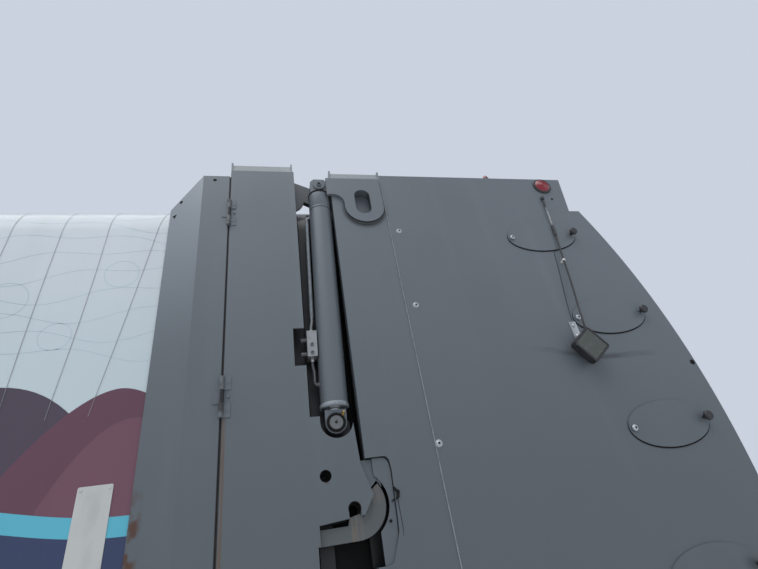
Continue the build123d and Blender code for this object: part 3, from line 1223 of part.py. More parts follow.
NODES = {
    "body_walls": body_walls, "body_roof": body_roof, "body_floor": body_floor, "floor_frame": floor_frame,
    "front_hoop": front_hoop, "rear_flange": rear_flange, "tail_seal": tail_seal, "rear_sill": rear_sill,
    "rear_header": rear_header, "rear_posts": rear_posts, "hinge_plates": hinge_plates,
    "post_caps": post_caps, "lift_brackets": lift_brackets, "latch_hooks": latch_hooks,
    "fairing_hinges": fairing_hinges,
    "side_sheets": side_sheets, "tail_liners": tail_liners, "tail_frame": tail_frame,
    "tail_posts": tail_posts, "tail_caps": tail_caps, "hook_plates": hook_plates,
    "hinge_arms": hinge_arms, "tail_throat": tail_throat, "tail_roof": tail_roof, "rear_panel": rear_panel,
    "hopper_floor": hopper_floor, "hopper_sill": hopper_sill, "slide_rails": slide_rails,
    "packer_slide": packer_slide, "sweep_blade": sweep_blade, "blade_pins": blade_pins,
    "sweep_cylinders": sweep_cylinders, "sweep_rods": sweep_rods, "access_covers": access_covers,
    "cover_knobs": cover_knobs, "marker_lamps": marker_lamps, "marker_lenses": marker_lenses,
    "work_lamps": work_lamps, "lamp_brackets": lamp_brackets, "lamp_leads": lamp_leads,
    "lead_holders": lead_holders,
}
SIDED_NODES = {"fairing": fairing, "lift_barrel": lift_barrel, "lift_rod": lift_rod, "lift_valve": lift_valve}


def main():
    os.makedirs("parts", exist_ok=True)
    for node, build in NODES.items():
        export_step(build(), f"parts/{node}.step")
    for node, build in SIDED_NODES.items():
        export_step(build(-1), f"parts/{node}_left.step")
        export_step(build(1), f"parts/{node}_right.step")


main()
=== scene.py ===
# %% [markdown]
# # Rear-loading refuse truck: the packing tailgate on the end of its body
# The solids come in finished, at their real size, and this file gives them their looks:
# paint, rust, rubber, glass, screws, weld beads, pipes and the printed film on the body.
# Everything is in metres. X runs to the truck's rear, Y to its right and Z up.

# %% Load the solids
import math

import bmesh
import bpy
from mathutils import Matrix, Vector


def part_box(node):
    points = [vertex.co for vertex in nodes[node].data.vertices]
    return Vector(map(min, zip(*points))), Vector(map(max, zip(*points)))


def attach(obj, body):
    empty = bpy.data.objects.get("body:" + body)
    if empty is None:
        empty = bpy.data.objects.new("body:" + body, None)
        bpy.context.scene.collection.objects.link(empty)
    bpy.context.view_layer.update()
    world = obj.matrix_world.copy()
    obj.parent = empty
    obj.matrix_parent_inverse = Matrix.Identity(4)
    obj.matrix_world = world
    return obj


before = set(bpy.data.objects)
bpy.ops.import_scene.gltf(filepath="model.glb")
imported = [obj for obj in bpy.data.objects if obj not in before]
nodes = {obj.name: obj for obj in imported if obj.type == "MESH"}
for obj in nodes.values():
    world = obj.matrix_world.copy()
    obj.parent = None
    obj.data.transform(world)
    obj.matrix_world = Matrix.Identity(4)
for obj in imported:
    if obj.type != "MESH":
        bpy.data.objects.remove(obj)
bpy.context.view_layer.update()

# %% [markdown]
# ## Where the photographer stood
# The picture was taken from beside the tailgate, looking steeply up, with the camera turned a
# little and rolled. The side wall is a plane, so its known edges fix the three angles, and the
# focal length follows from how fast the upright edges lean together. A constraint could aim the
# camera, but it wouldn't keep the roll, so the camera gets its own three axes as a matrix.

# %% Camera
CAMERA_PLACE = Vector((1.400, -2.870, 0.500))
CAMERA_PITCH = math.radians(31.8)
CAMERA_ROLL = math.radians(-10.2)
CAMERA_YAW = math.radians(15.4)
SENSOR_WIDTH = 36.0
FOCAL_PIXELS = 435.0
PICTURE_WIDTH = 758.0


def camera_axes(pitch, roll, yaw):
    """Right, up and forward directions of a camera that looks along +Y when all angles are 0."""
    forward = Vector((math.sin(yaw) * math.cos(pitch), math.cos(yaw) * math.cos(pitch), math.sin(pitch)))
    level_right = Vector((math.cos(yaw), -math.sin(yaw), 0))
    level_up = level_right.cross(forward)
    right = level_right * math.cos(roll) + level_up * math.sin(roll)
    up = level_up * math.cos(roll) - level_right * math.sin(roll)
    return right, up, forward


right, up, forward = camera_axes(CAMERA_PITCH, CAMERA_ROLL, CAMERA_YAW)
camera_data = bpy.data.cameras.new("photo_camera")
camera_data.sensor_width = SENSOR_WIDTH
camera_data.lens = FOCAL_PIXELS * SENSOR_WIDTH / PICTURE_WIDTH
camera_data.clip_end = 200.0
camera = bpy.data.objects.new("photo_camera", camera_data)
camera.matrix_world = Matrix.Translation(CAMERA_PLACE) @ Matrix((right, up, -forward)).transposed().to_4x4()
bpy.context.scene.collection.objects.link(camera)
bpy.context.scene.camera = camera
print("lens", round(camera_data.lens, 2), "mm")

# %% [markdown]
# ## An overcast day
# Cloud lights everything from above with no hard edge. A picture of a sky could give such light,
# but a ramp from horizon to zenith needs no file: the world is brighter overhead than at the
# horizon, and one wide, weak sun nearly overhead gives the undersides of plates a soft shadow.
# What the camera sees behind the truck is a flat pale grey, chosen apart from the light.

# %% Light and floor
HORIZON_LIGHT = (0.46, 0.49, 0.53, 1)
OVERHEAD_LIGHT = (0.98, 1.03, 1.11, 1)
BACKDROP = (0.59, 0.645, 0.735, 1)
SUN_STRENGTH = 1.6
SUN_ANGLE = math.radians(60)
SUN_TILT = (math.radians(14.5), math.radians(-15), 0)
FLOOR_SIZE = 30.0
GROUND = -1.12

scene = bpy.context.scene
scene.view_settings.view_transform = "Standard"
world = bpy.data.worlds.new("overcast")
world.use_nodes = True
scene.world = world


def add(tree, kind, inputs=None, **settings):
    """A new node in a tree; each input gets a plain value, or a link from another node's output."""
    made = tree.nodes.new(kind)
    for name, value in settings.items():
        setattr(made, name, value)
    for name, value in (inputs or {}).items():
        if isinstance(value, bpy.types.NodeSocket):
            tree.links.new(value, made.inputs[name])
        else:
            made.inputs[name].default_value = value
    return made


def build_world(tree):
    tree.nodes.clear()
    place = add(tree, "ShaderNodeTexCoord")
    split = add(tree, "ShaderNodeSeparateXYZ", {0: place.outputs["Generated"]})
    ramp = add(tree, "ShaderNodeValToRGB", {0: split.outputs["Z"]})
    stops = zip(ramp.color_ramp.elements, (0.0, 0.9), (HORIZON_LIGHT, OVERHEAD_LIGHT))
    for element, position, colour in stops:
        element.position = position
        element.color = colour
    light = add(tree, "ShaderNodeBackground", {"Color": ramp.outputs[0]})
    seen = add(tree, "ShaderNodeBackground", {"Color": BACKDROP})
    path = add(tree, "ShaderNodeLightPath")
    seen_ray = path.outputs["Is Camera Ray"]
    for kind in ("Is Glossy Ray", "Is Transmission Ray"):
        rays = {0: seen_ray, 1: path.outputs[kind]}
        seen_ray = add(tree, "ShaderNodeMath", rays, operation="MAXIMUM").outputs[0]
    mix = add(tree, "ShaderNodeMixShader", {0: seen_ray, 1: light.outputs[0], 2: seen.outputs[0]})
    add(tree, "ShaderNodeOutputWorld", {0: mix.outputs[0]})


build_world(world.node_tree)
sun_data = bpy.data.lights.new("cloud_sun", "SUN")
sun_data.energy = SUN_STRENGTH
sun_data.angle = SUN_ANGLE
sun = bpy.data.objects.new("cloud_sun", sun_data)
sun.rotation_euler = SUN_TILT
scene.collection.objects.link(sun)
print("backdrop", BACKDROP[:3])

# %% [markdown]
# ## Building a finish
# Every finish starts from one Principled shader. Painted image maps could carry the dirt, but
# patterns that are worked out need no unwrapping and stay sharp from near. A few helpers lay them
# on: a noise that can be stretched into streaks, a threshold that turns noise into patches, and a
# soft box in the object's own coordinates, which keeps a rust run or a stain at its place on the
# truck.

# %% Finish helpers
NOISE_ROUGHNESS = 0.55


class Finish:
    """One material, with short calls for the patterns that build its colour, roughness and bump."""

    def __init__(self, name, colour, roughness, metallic=0.0, coat=0.0, coat_roughness=0.03, specular=0.5):
        self.material = bpy.data.materials.new(name)
        self.material.use_nodes = True
        self.tree = self.material.node_tree
        self.shader = self.tree.nodes["Principled BSDF"]
        for socket, value in (("Metallic", metallic), ("Roughness", roughness), ("Coat Weight", coat),
                              ("Coat Roughness", coat_roughness), ("Specular IOR Level", specular),
                              ("Base Color", (*colour, 1))):
            self.shader.inputs[socket].default_value = value
        self.place = add(self.tree, "ShaderNodeTexCoord").outputs["Object"]
        self.colour = (*colour, 1)
        self.bump = None
        self.split = None

    def link(self, source, target):
        self.tree.links.new(source, target)

    def noise(self, scale, detail, stretch=(1, 1, 1)):
        """Noise from 0 to 1; a small stretch on one axis draws it out along that axis."""
        mapping = add(self.tree, "ShaderNodeMapping", {"Vector": self.place, "Scale": stretch})
        made = add(self.tree, "ShaderNodeTexNoise", {"Vector": mapping.outputs[0], "Scale": scale,
                                                     "Detail": detail, "Roughness": NOISE_ROUGHNESS})
        return made.outputs["Fac"]

    def span(self, value, low, high, start=0.0, end=1.0):
        """Remaps a value, smoothly and held at both ends."""
        inputs = {"Value": value, "From Min": low, "From Max": high, "To Min": start, "To Max": end}
        made = add(self.tree, "ShaderNodeMapRange", inputs, interpolation_type="SMOOTHSTEP")
        return made.outputs["Result"]

    def math(self, operation, first, second):
        return add(self.tree, "ShaderNodeMath", {0: first, 1: second}, operation=operation).outputs[0]

    def product(self, *masks):
        """All the masks multiplied together; a number among them is a strength."""
        result = masks[0]
        for mask in masks[1:]:
            result = self.math("MULTIPLY", result, mask)
        return result

    def inverse(self, mask):
        return self.math("SUBTRACT", 1.0, mask)

    def axis(self, name):
        """One of the object's own coordinates."""
        if self.split is None:
            self.split = add(self.tree, "ShaderNodeSeparateXYZ", {0: self.place})
        return self.split.outputs[name]

    def along(self, name, low, high, start=0.0, end=1.0):
        """Goes from one value to another between two places on an axis."""
        return self.span(self.axis(name), low, high, start, end)

    def depth(self):
        """Distance from the truck's middle plane."""
        return self.math("ABSOLUTE", self.axis("Y"), 0.0)

    def band(self, name, low, high, soft):
        """1 between two coordinates, falling to 0 over a soft distance."""
        rise = self.along(name, low - soft, low)
        fall = self.along(name, high, high + soft, 1.0, 0.0)
        return self.product(rise, fall)

    def spot(self, x, z, soft_x, soft_z):
        """A soft box in x and z, each given as (low, high)."""
        return self.product(self.band("X", *x, soft_x), self.band("Z", *z, soft_z))

    def near(self, x, z, radius, soft):
        """1 within a radius of a line across the truck at (x, z), falling to 0 over a soft distance."""
        across = self.math("SUBTRACT", self.axis("X"), x)
        above = self.math("SUBTRACT", self.axis("Z"), z)
        square = self.math("ADD", self.product(across, across), self.product(above, above))
        return self.span(self.math("SQRT", square, 0.0), radius, radius + soft, 1.0, 0.0)

    def paint(self, colour, *masks):
        """Lays a colour over what is there, where all the masks allow it."""
        inputs = {"A": self.colour, "B": (*colour, 1), "Factor": self.product(*masks)}
        made = add(self.tree, "ShaderNodeMix", inputs, data_type="RGBA")
        self.colour = made.outputs["Result"]
        self.link(self.colour, self.shader.inputs["Base Color"])

    def patches(self, colour, scale, detail, low, high, strength, stretch=(1, 1, 1)):
        """Lays a colour on in patches of noise, and gives the noise back."""
        pattern = self.noise(scale, detail, stretch)
        self.paint(colour, self.span(pattern, low, high, 0.0, strength))
        return pattern

    def rough(self, value, low, high):
        self.link(self.span(value, 0.0, 1.0, low, high), self.shader.inputs["Roughness"])

    def emboss(self, height, strength, distance):
        inputs = {"Strength": strength, "Distance": distance, "Height": height}
        made = add(self.tree, "ShaderNodeBump", inputs)
        if self.bump is not None:
            self.link(self.bump, made.inputs["Normal"])
        self.bump = made.outputs["Normal"]
        self.link(self.bump, self.shader.inputs["Normal"])


print("finish class ready")

# %% Speckled finishes, and dressing a solid


def speckled(name, colour, roughness, patch, rough=None, relief=None, stretch=(1, 1, 1), **surface):
    """A finish with one layer of patches and, where given, an uneven gloss and a fine relief."""
    finish = Finish(name, colour, roughness, **surface)
    finish.patches(*patch, stretch)
    if rough:
        scale, detail, low, high = rough
        finish.rough(finish.noise(scale, detail, stretch), low, high)
    if relief:
        scale, detail, strength, distance = relief
        finish.emboss(finish.noise(scale, detail), strength, distance)
    return finish


def dress(node, finish):
    """Gives a solid its finish, in the slots that it came with."""
    materials = nodes[node].data.materials
    if not materials:
        materials.append(finish.material)
    for index in range(len(materials)):
        materials[index] = finish.material


RUST_DARK = (0.070, 0.028, 0.012)
RUST_BRIGHT = (0.260, 0.110, 0.040)
RUST_TAN = (0.160, 0.124, 0.088)
RUN_BROWN = (0.105, 0.068, 0.046)
BLACK_AND_SHADE = (0.010, 0.010, 0.010)
NOTCH = (1.630, 0.656)
BRACKET_HOLE = (1.540, 0.770)
LOW_PIN = (1.598, 0.957)
GREASE_AND_SHADE = (0.020, 0.018, 0.015)
DIRT = (0.060, 0.058, 0.052)
print("finish helpers ready")

# %% [markdown]
# ## Slate-grey paint
# The tailgate and posts wear one satin grey. It has faint upright mottling where rain has run
# down, a little orange-peel texture, painted shade that darkens it towards the foot, a brown run
# below the fairing's lower hinge and rust on the latch hook. Painted shade also darkens the gap
# behind the lift cylinder, the hinge's ears, the seam, the latch's notch and the bracket's hole,
# and a painted shadow lies below the lifting plate. Each plate could have a paint of its own, but
# the marks are placed by where they lie on the truck, so one paint serves all the grey solids and
# a mark runs on from one plate to the next. Hook, caps and fairing start from the same recipe.

# %% Paint
GREY = (0.122, 0.141, 0.160)
GREY_DEEP = (0.098, 0.114, 0.131)
GREY_PALE = (0.160, 0.183, 0.205)
FAIRING_REFLECTION = (0.230, 0.262, 0.292)
HOOK_BROWN = (0.105, 0.108, 0.106)
CAP_GREY = (0.188, 0.212, 0.226)
CAP_PALE = (0.42, 0.46, 0.49)
FOOT_SHADE = (0.068, 0.082, 0.092)
SPLASH_DEEP = (0.045, 0.052, 0.058)
FOOT = 0.10
TOP = 1.90


def weathered_paint(name, colour, deep, pale, roughness):
    """The satin grey that the other paints start from, with its streaks, its fine mottling and a painted
    shade that darkens it towards the foot.
    """
    finish = Finish(name, colour, roughness, coat=0.10, coat_roughness=0.35)
    finish.patches(deep, 1.6, 3.0, 0.45, 0.72, 0.30)
    runs = finish.patches(pale, 9.0, 5.0, 0.52, 0.74, 0.26, (1.0, 1.0, 0.06))
    fine = finish.patches(deep, 55.0, 6.0, 0.62, 0.80, 0.12)
    # Painted shade: darker towards the foot
    finish.paint(FOOT_SHADE, finish.along("Z", FOOT, TOP, 0.70, 0.0))
    return finish, runs, fine


def make_grey_paint():
    """The paint of posts and tailgate: each part below lays one mark at its own place."""
    finish, runs, _ = weathered_paint("slate_paint", GREY, GREY_DEEP, GREY_PALE, 0.38)
    depth = finish.depth()
    outer = finish.span(depth, 1.19, 1.20)
    # Dirt low down, and a brown run down the post beside the fairing's seam
    low = finish.along("Z", -0.30, 0.55, 1.0, 0.0)
    finish.paint(DIRT, low, finish.span(runs, 0.35, 0.62), 0.55)
    drip = finish.span(finish.noise(38.0, 5.0, (1.0, 1.0, 0.035)), 0.36, 0.60)
    finish.paint(RUN_BROWN, finish.spot((1.184, 1.197), (-0.40, 0.99), 0.004, 0.05), drip, outer, 0.85)
    # Smear beside the work lamp, in a slight sag
    sag = finish.along("X", 2.50, 2.86, 1.187, 1.124)
    apart = finish.math("ABSOLUTE", finish.math("SUBTRACT", finish.axis("Z"), sag), 0.0)
    patchy = finish.span(finish.noise(8.0, 5.0, (0.5, 1.0, 4.0)), 0.36, 0.58, 0.25, 0.85)
    finish.paint(SPLASH_DEEP, finish.span(apart, 0.003, 0.020, 1.0, 0.0), finish.band("X", 2.62, 3.02, 0.16),
                 outer, patchy)
    # Painted shade behind the lift cylinder, on the hinge's ears and along the seam, and a painted shadow
    # below the lifting plate
    finish.paint(BLACK_AND_SHADE, finish.spot((1.44, 1.80), (0.15, 2.02), 0.01, 0.08),
                 finish.span(depth, 1.150, 1.185, 1.0, 0.0))
    finish.paint(BLACK_AND_SHADE, finish.spot((1.50, 1.66), (2.05, 2.34), 0.01, 0.03),
                 finish.span(depth, 1.16, 1.19, 0.5, 0.0))
    finish.paint(BLACK_AND_SHADE, finish.spot((1.184, 1.1862), (-0.50, 2.26), 0.0004, 0.01), outer)
    finish.paint(BLACK_AND_SHADE, finish.near(1.850, 2.024, 0.099, 0.030), finish.span(depth, 1.231, 1.234, 0.70, 0.0),
                 outer)
    # Painted shade in the latch's notch and in the bracket's hole, with a little rust under the hole
    finish.paint(GREASE_AND_SHADE, finish.near(*NOTCH, 0.0222, 0.002))
    finish.paint(GREASE_AND_SHADE, finish.near(*BRACKET_HOLE, 0.0205, 0.001))
    finish.paint(RUST_DARK, finish.near(BRACKET_HOLE[0] + 0.002, BRACKET_HOLE[1] - 0.0185, 0.005, 0.005), 0.6)
    finish.rough(runs, 0.33, 0.52)
    finish.emboss(finish.noise(260.0, 2.0), 0.08, 0.0008)
    finish.emboss(finish.noise(2.2, 2.0), 0.04, 0.006)
    return finish


def make_hook_paint():
    """The latch hook: its paint is browned by road salt, with tan streaks under the notch."""
    finish, runs, fine = weathered_paint("hook_paint", HOOK_BROWN, GREY_DEEP, GREY, 0.48)
    drip = finish.span(finish.noise(150.0, 5.0, (1.0, 1.0, 0.05)), 0.40, 0.66)
    finish.paint(RUST_TAN, finish.spot((1.622, 1.646), (0.45, 0.66), 0.012, 0.02), drip, 0.85)
    finish.paint(RUST_TAN, finish.spot((1.690, 1.730), (0.675, 0.735), 0.01, 0.02), drip, 0.5)
    finish.rough(runs, 0.42, 0.62)
    finish.emboss(fine, 0.10, 0.001)
    return finish


def make_cap_paint():
    """The caps: paler than the posts."""
    finish, _, fine = weathered_paint("cap_paint", CAP_GREY, GREY_PALE, CAP_PALE, 0.42)
    finish.rough(fine, 0.36, 0.55)
    finish.emboss(finish.noise(240.0, 2.0), 0.08, 0.0008)
    return finish


def make_fairing_paint():
    """The grey of the fairing: painted shade along its rear edge at the seam, a painted reflection that makes
    its slanted face paler near the top, and rust low on its front edge.
    """
    finish, runs, _ = weathered_paint("fairing_paint", GREY, GREY_DEEP, GREY_PALE, 0.34)
    # Painted shade along the rear edge, in the seam with the post
    finish.paint(BLACK_AND_SHADE, finish.along("X", 1.1762, 1.1768))
    # Painted reflection: the slanted face is paler near the top
    finish.paint(FAIRING_REFLECTION, finish.along("X", 1.0520, 1.0535, 1.0, 0.0),
                 finish.along("Z", 1.20, 2.15), 0.80)
    finish.paint(RUST_DARK, finish.spot((0.85, 0.915), (-0.40, 0.72), 0.030, 0.14),
                 finish.span(finish.noise(16.0, 6.0), 0.40, 0.58))
    finish.rough(runs, 0.26, 0.46)
    finish.emboss(finish.noise(260.0, 2.0), 0.08, 0.0008)
    return finish


grey_paint = make_grey_paint()
hook_paint = make_hook_paint()
cap_paint = make_cap_paint()
fairing_paint = make_fairing_paint()
print("paints:", grey_paint.material.name, cap_paint.material.name, fairing_paint.material.name)

# %% [markdown]
# ## Steel, rubber, plastic and glass
# The refuse side is bare steel, scoured bright where the load slides and brown where it sits.
# Lift rods are chromed, the pivots carry dark grease, and the seal and grommets are rubber. Most
# small finishes differ only in colour, gloss and one layer of patches, so one function makes them
# from a line of values, and only a finish with a mark at a fixed place gets a function of its
# own.

# %% Bare metal
STEEL = (0.30, 0.29, 0.28)
STEEL_DARK = (0.10, 0.095, 0.09)
CHROME = (0.78, 0.79, 0.80)


def make_worn_steel():
    """Scoured steel that rusts in patches, with painted shade beside the lift cylinder."""
    finish = Finish("worn_steel", STEEL, 0.45, metallic=0.75)
    rust = finish.patches(RUST_DARK, 2.4, 6.0, 0.42, 0.66, 0.85)
    finish.patches(RUST_BRIGHT, 11.0, 5.0, 0.56, 0.74, 0.7)
    streaks = finish.patches(STEEL_DARK, 16.0, 5.0, 0.56, 0.72, 0.5, (0.12, 1.0, 1.0))
    # Painted shade in the gap behind the lift cylinder
    finish.paint(BLACK_AND_SHADE, finish.spot((1.40, 1.80), (-0.60, 2.20), 0.01, 0.05),
                 finish.span(finish.depth(), 1.02, 1.05))
    finish.rough(rust, 0.30, 0.80)
    finish.emboss(streaks, 0.20, 0.003)
    return finish


def make_hinge_steel():
    """Painted steel with black grime and a little rust showing through."""
    finish = Finish("hinge_steel", (0.130, 0.142, 0.155), 0.48, metallic=0.15)
    grime = finish.patches(GREASE_AND_SHADE, 24.0, 6.0, 0.48, 0.66, 0.8)
    finish.patches(RUST_DARK, 60.0, 4.0, 0.62, 0.74, 0.5)
    finish.paint(GREY, finish.along("X", 1.1905, 1.1915))
    finish.rough(grime, 0.38, 0.62)
    finish.emboss(finish.noise(90.0, 4.0), 0.12, 0.001)
    return finish


def make_rod_finish(name, eye_top):
    """Chromed rod above a height, and a painted eye below it."""
    finish = Finish(name, CHROME, 0.12, metallic=1.0)
    wear = finish.patches((0.35, 0.35, 0.36), 30.0, 4.0, 0.56, 0.76, 0.35, (1.0, 1.0, 0.05))
    eye = finish.along("Z", eye_top, eye_top + 0.002, 1.0, 0.0)
    finish.paint(GREY, eye)
    finish.paint(GREASE_AND_SHADE, eye, finish.near(*LOW_PIN, 0.036, 0.006))
    finish.link(finish.inverse(eye), finish.shader.inputs["Metallic"])
    finish.link(finish.math("ADD", finish.span(wear, 0.0, 1.0, 0.08, 0.28), finish.product(eye, 0.25)),
                finish.shader.inputs["Roughness"])
    return finish


def make_pin_steel():
    """Round pin end: dull steel, black in its centre hole and round its edge."""
    finish = speckled("pin_steel", (0.150, 0.158, 0.165), 0.46, (GREASE_AND_SHADE, 80.0, 5.0, 0.50, 0.72, 0.7),
                      metallic=0.25)
    finish.paint(GREASE_AND_SHADE, finish.near(*LOW_PIN, 0.0058, 0.001))
    finish.paint(GREASE_AND_SHADE, finish.inverse(finish.near(*LOW_PIN, 0.0240, 0.003)))
    return finish


def make_alloy():
    """Pale valve block; its pipes and the side fittings are dull and greasy."""
    finish = speckled("valve_alloy", (0.30, 0.31, 0.32), 0.40,
                      ((0.20, 0.20, 0.20), 40.0, 4.0, 0.48, 0.72, 0.5),
                      rough=(90.0, 3.0, 0.30, 0.52), metallic=0.35)
    block = finish.product(finish.along("Z", 1.234, 1.236), finish.along("X", 1.5095, 1.5105))
    finish.paint((0.075, 0.078, 0.080), finish.inverse(block), 0.80)
    return finish


worn_steel = make_worn_steel()
hinge_steel = make_hinge_steel()
rod_chrome = make_rod_finish("rod_chrome", 1.0070)
sweep_chrome = make_rod_finish("sweep_chrome", 0.9560)
pin_steel = make_pin_steel()
alloy = make_alloy()
brass = speckled("brass", (0.62, 0.44, 0.16), 0.30, ((0.20, 0.12, 0.05), 120.0, 3.0, 0.45, 0.75, 0.6),
                 metallic=1.0)
zinc = speckled("zinc", (0.56, 0.57, 0.58), 0.32, ((0.22, 0.22, 0.22), 70.0, 4.0, 0.50, 0.75, 0.5),
                metallic=0.9)
bolt_paint = speckled("bolt_paint", (0.46, 0.49, 0.52), 0.34, (GREY_PALE, 85.0, 4.0, 0.50, 0.75, 0.5),
                      metallic=0.2)
weld_paint = speckled("weld_paint", (0.235, 0.262, 0.290), 0.45, (GREY, 60.0, 4.0, 0.46, 0.70, 0.7),
                      rough=(90.0, 3.0, 0.35, 0.60))
print("metals:", worn_steel.material.name, hinge_steel.material.name, rod_chrome.material.name)

# %% Rubber, plastic, grease and lenses


def make_lead_rubber():
    """Black cable whose top stretch is paler."""
    finish = Finish("lead_rubber", (0.026, 0.026, 0.028), 0.45)
    finish.paint((0.34, 0.35, 0.36), finish.band("Z", 1.915, 2.030, 0.02),
                 finish.span(finish.noise(40.0, 4.0), 0.30, 0.60, 0.3, 0.9))
    finish.rough(finish.noise(60.0, 3.0), 0.35, 0.60)
    return finish


def make_holder_finish():
    """Black rubber hood above, white nylon tie below."""
    finish = Finish("holder_finish", (0.030, 0.030, 0.032), 0.50)
    finish.paint((0.62, 0.62, 0.60), finish.along("Z", 1.75, 1.80, 1.0, 0.0))
    finish.rough(finish.noise(60.0, 3.0), 0.35, 0.60)
    return finish


lead_rubber = make_lead_rubber()
holder_finish = make_holder_finish()
# Matte black for black rubber, rings and seals, and for the dark pieces that are painted shade in holes,
# sockets and gaps
black_and_shade = speckled("black_and_shade", BLACK_AND_SHADE, 0.75, ((0.050, 0.047, 0.042), 120.0, 5.0, 0.52, 0.74, 0.4),
                       relief=(200.0, 3.0, 0.25, 0.001), specular=0.15)
seal_rubber = speckled("seal_rubber", (0.028, 0.028, 0.030), 0.62,
                       ((0.12, 0.12, 0.115), 18.0, 5.0, 0.50, 0.75, 0.5),
                       rough=(18.0, 5.0, 0.50, 0.75), relief=(180.0, 3.0, 0.15, 0.001))
black_plastic = speckled("black_plastic", (0.022, 0.022, 0.024), 0.40,
                         ((0.09, 0.09, 0.09), 45.0, 5.0, 0.56, 0.76, 0.5),
                         rough=(45.0, 5.0, 0.30, 0.55), relief=(400.0, 2.0, 0.10, 0.0005))
red_lens = speckled("red_lens", (0.235, 0.008, 0.018), 0.16,
                    ((0.14, 0.006, 0.012), 40.0, 4.0, 0.52, 0.75, 0.5),
                    rough=(60.0, 3.0, 0.12, 0.28), coat=0.35, coat_roughness=0.05)
dark_lens = speckled("dark_lens", (0.052, 0.058, 0.050), 0.18,
                     ((0.095, 0.100, 0.090), 50.0, 3.0, 0.48, 0.75, 0.6),
                     rough=(90.0, 3.0, 0.12, 0.30), coat=0.4, coat_roughness=0.06)
print("lenses:", red_lens.material.name, dark_lens.material.name)

# %% Every solid gets its finish
DRESSED = [
    (worn_steel, "hopper_floor sweep_blade blade_pins packer_slide slide_rails tail_liners"),
    (hinge_steel, "fairing_hinges"), (rod_chrome, "lift_rod_left lift_rod_right"),
    (sweep_chrome, "sweep_rods"),
    (alloy, "lift_valve_left lift_valve_right"), (cap_paint, "post_caps tail_caps"),
    (fairing_paint, "fairing_left fairing_right"), (hook_paint, "latch_hooks"),
    (seal_rubber, "tail_seal marker_lamps"), (red_lens, "marker_lenses"), (zinc, "lamp_brackets"),
    (black_plastic, "work_lamps cover_knobs"), (lead_rubber, "lamp_leads"), (holder_finish, "lead_holders"),
]
finish_of = {node: finish for finish, names in DRESSED for node in names.split()}
for node in nodes:
    dress(node, finish_of.get(node, grey_paint))
print(len(nodes), "solids have their finish")

# %% [markdown]
# ## Small solids
# Everything below is a small mesh of its own, built from outlines that are pushed out, turned
# round an axis or swept along a line. Blender's primitives and modifiers could make many of them,
# but points that are worked out lie exactly in the truck's own frame, and the object itself can
# stay at the origin. A left piece is built at negative y and mirrored across the middle, so both
# sides of the truck stay alike.

# %% Meshes and pieces
SIDE = -1.220
WALL = -1.102
OUTWARD = (0, -1, 0)
UPWARD = (0, 0, 1)
SMOOTH_ANGLE = math.radians(35)


def show(name, mesh, body, sharp_angle):
    """Puts a finished mesh into the scene, smooth but for its sharp edges, and lets it ride on a body."""
    mesh.shade_smooth()
    mesh.set_sharp_from_angle(angle=sharp_angle)
    made = bpy.data.objects.new(name, mesh)
    scene.collection.objects.link(made)
    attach(made, body)


def piece(name, shape, finish, body):
    """A mesh piece with outward faces, from a shape of (vertices, faces)."""
    vertices, faces = shape
    mesh = bpy.data.meshes.new(name)
    mesh.from_pydata([tuple(vertex) for vertex in vertices], [], faces)
    work = bmesh.new()
    work.from_mesh(mesh)
    bmesh.ops.remove_doubles(work, verts=work.verts, dist=1e-6)
    bmesh.ops.recalc_face_normals(work, faces=work.faces)
    work.to_mesh(mesh)
    work.free()
    mesh.materials.append(finish.material)
    show(name, mesh, body, SMOOTH_ANGLE)


def joined(*parts):
    """Several shapes as one."""
    vertices, faces = [], []
    for points, loops in parts:
        start = len(vertices)
        vertices += points
        faces += [tuple(index + start for index in loop) for loop in loops]
    return vertices, faces


def mirrored(shape):
    """The same shape on the truck's other side."""
    points, loops = shape
    return [(x, -y, z) for x, y, z in points], [tuple(reversed(loop)) for loop in loops]


print("piece helpers ready")

# %% Turned and swept shapes


def rings(rows, closed=True):
    """Faces between rows of equal length, capped at both ends where closed is set."""
    count = len(rows[0])
    faces = []
    for row in range(len(rows) - 1):
        for step in range(count):
            after = (step + 1) % count
            low, high = row * count, (row + 1) * count
            faces.append((low + step, low + after, high + after, high + step))
    if closed:
        faces += [tuple(reversed(range(count))), tuple(range((len(rows) - 1) * count, len(rows) * count))]
    return [point for row in rows for point in row], faces


def full_turn(steps):
    """Evenly spaced angles of one turn."""
    return [math.tau * step / steps for step in range(steps)]


def circle(place, side, other, radius, steps):
    """Points round a place, on two axes."""
    return [tuple(place + (side * math.cos(angle) + other * math.sin(angle)) * radius)
            for angle in full_turn(steps)]


def turned_shape(place, direction, profile, steps=24):
    """Profile of (distance along, radius) turned round a line."""
    turn = Vector(UPWARD).rotation_difference(Vector(direction).normalized())
    side, other, run = (turn @ Vector(axis) for axis in ((1, 0, 0), (0, 1, 0), UPWARD))
    return rings([circle(Vector(place) + run * along, side, other, radius, steps)
                  for along, radius in profile])


def directions(points):
    """Unit direction of a line at each of its points."""
    points = [Vector(point) for point in points]
    neighbours = zip(points[:1] + points[:-1], points[1:] + points[-1:])
    return [(after - before).normalized() for before, after in neighbours]


def swept(points, radii, steps, squash=1.0):
    """Tube along a line, with one radius for each point."""
    runs = directions(points)
    side = runs[0].orthogonal()
    rows = []
    for point, run, radius in zip(points, runs, radii):
        side = (side - run * side.dot(run)).normalized()
        rows.append(circle(Vector(point), side, run.cross(side) * squash, radius, steps))
    return rings(rows)


print("turned and swept shapes ready")

# %% Flat outlines


def arc(x, z, radius, start, end, steps):
    """Points (x, z) of an arc, angles in degrees."""
    angles = [math.radians(start + (end - start) * step / steps) for step in range(steps + 1)]
    return [(x + radius * math.cos(angle), z + radius * math.sin(angle)) for angle in angles]


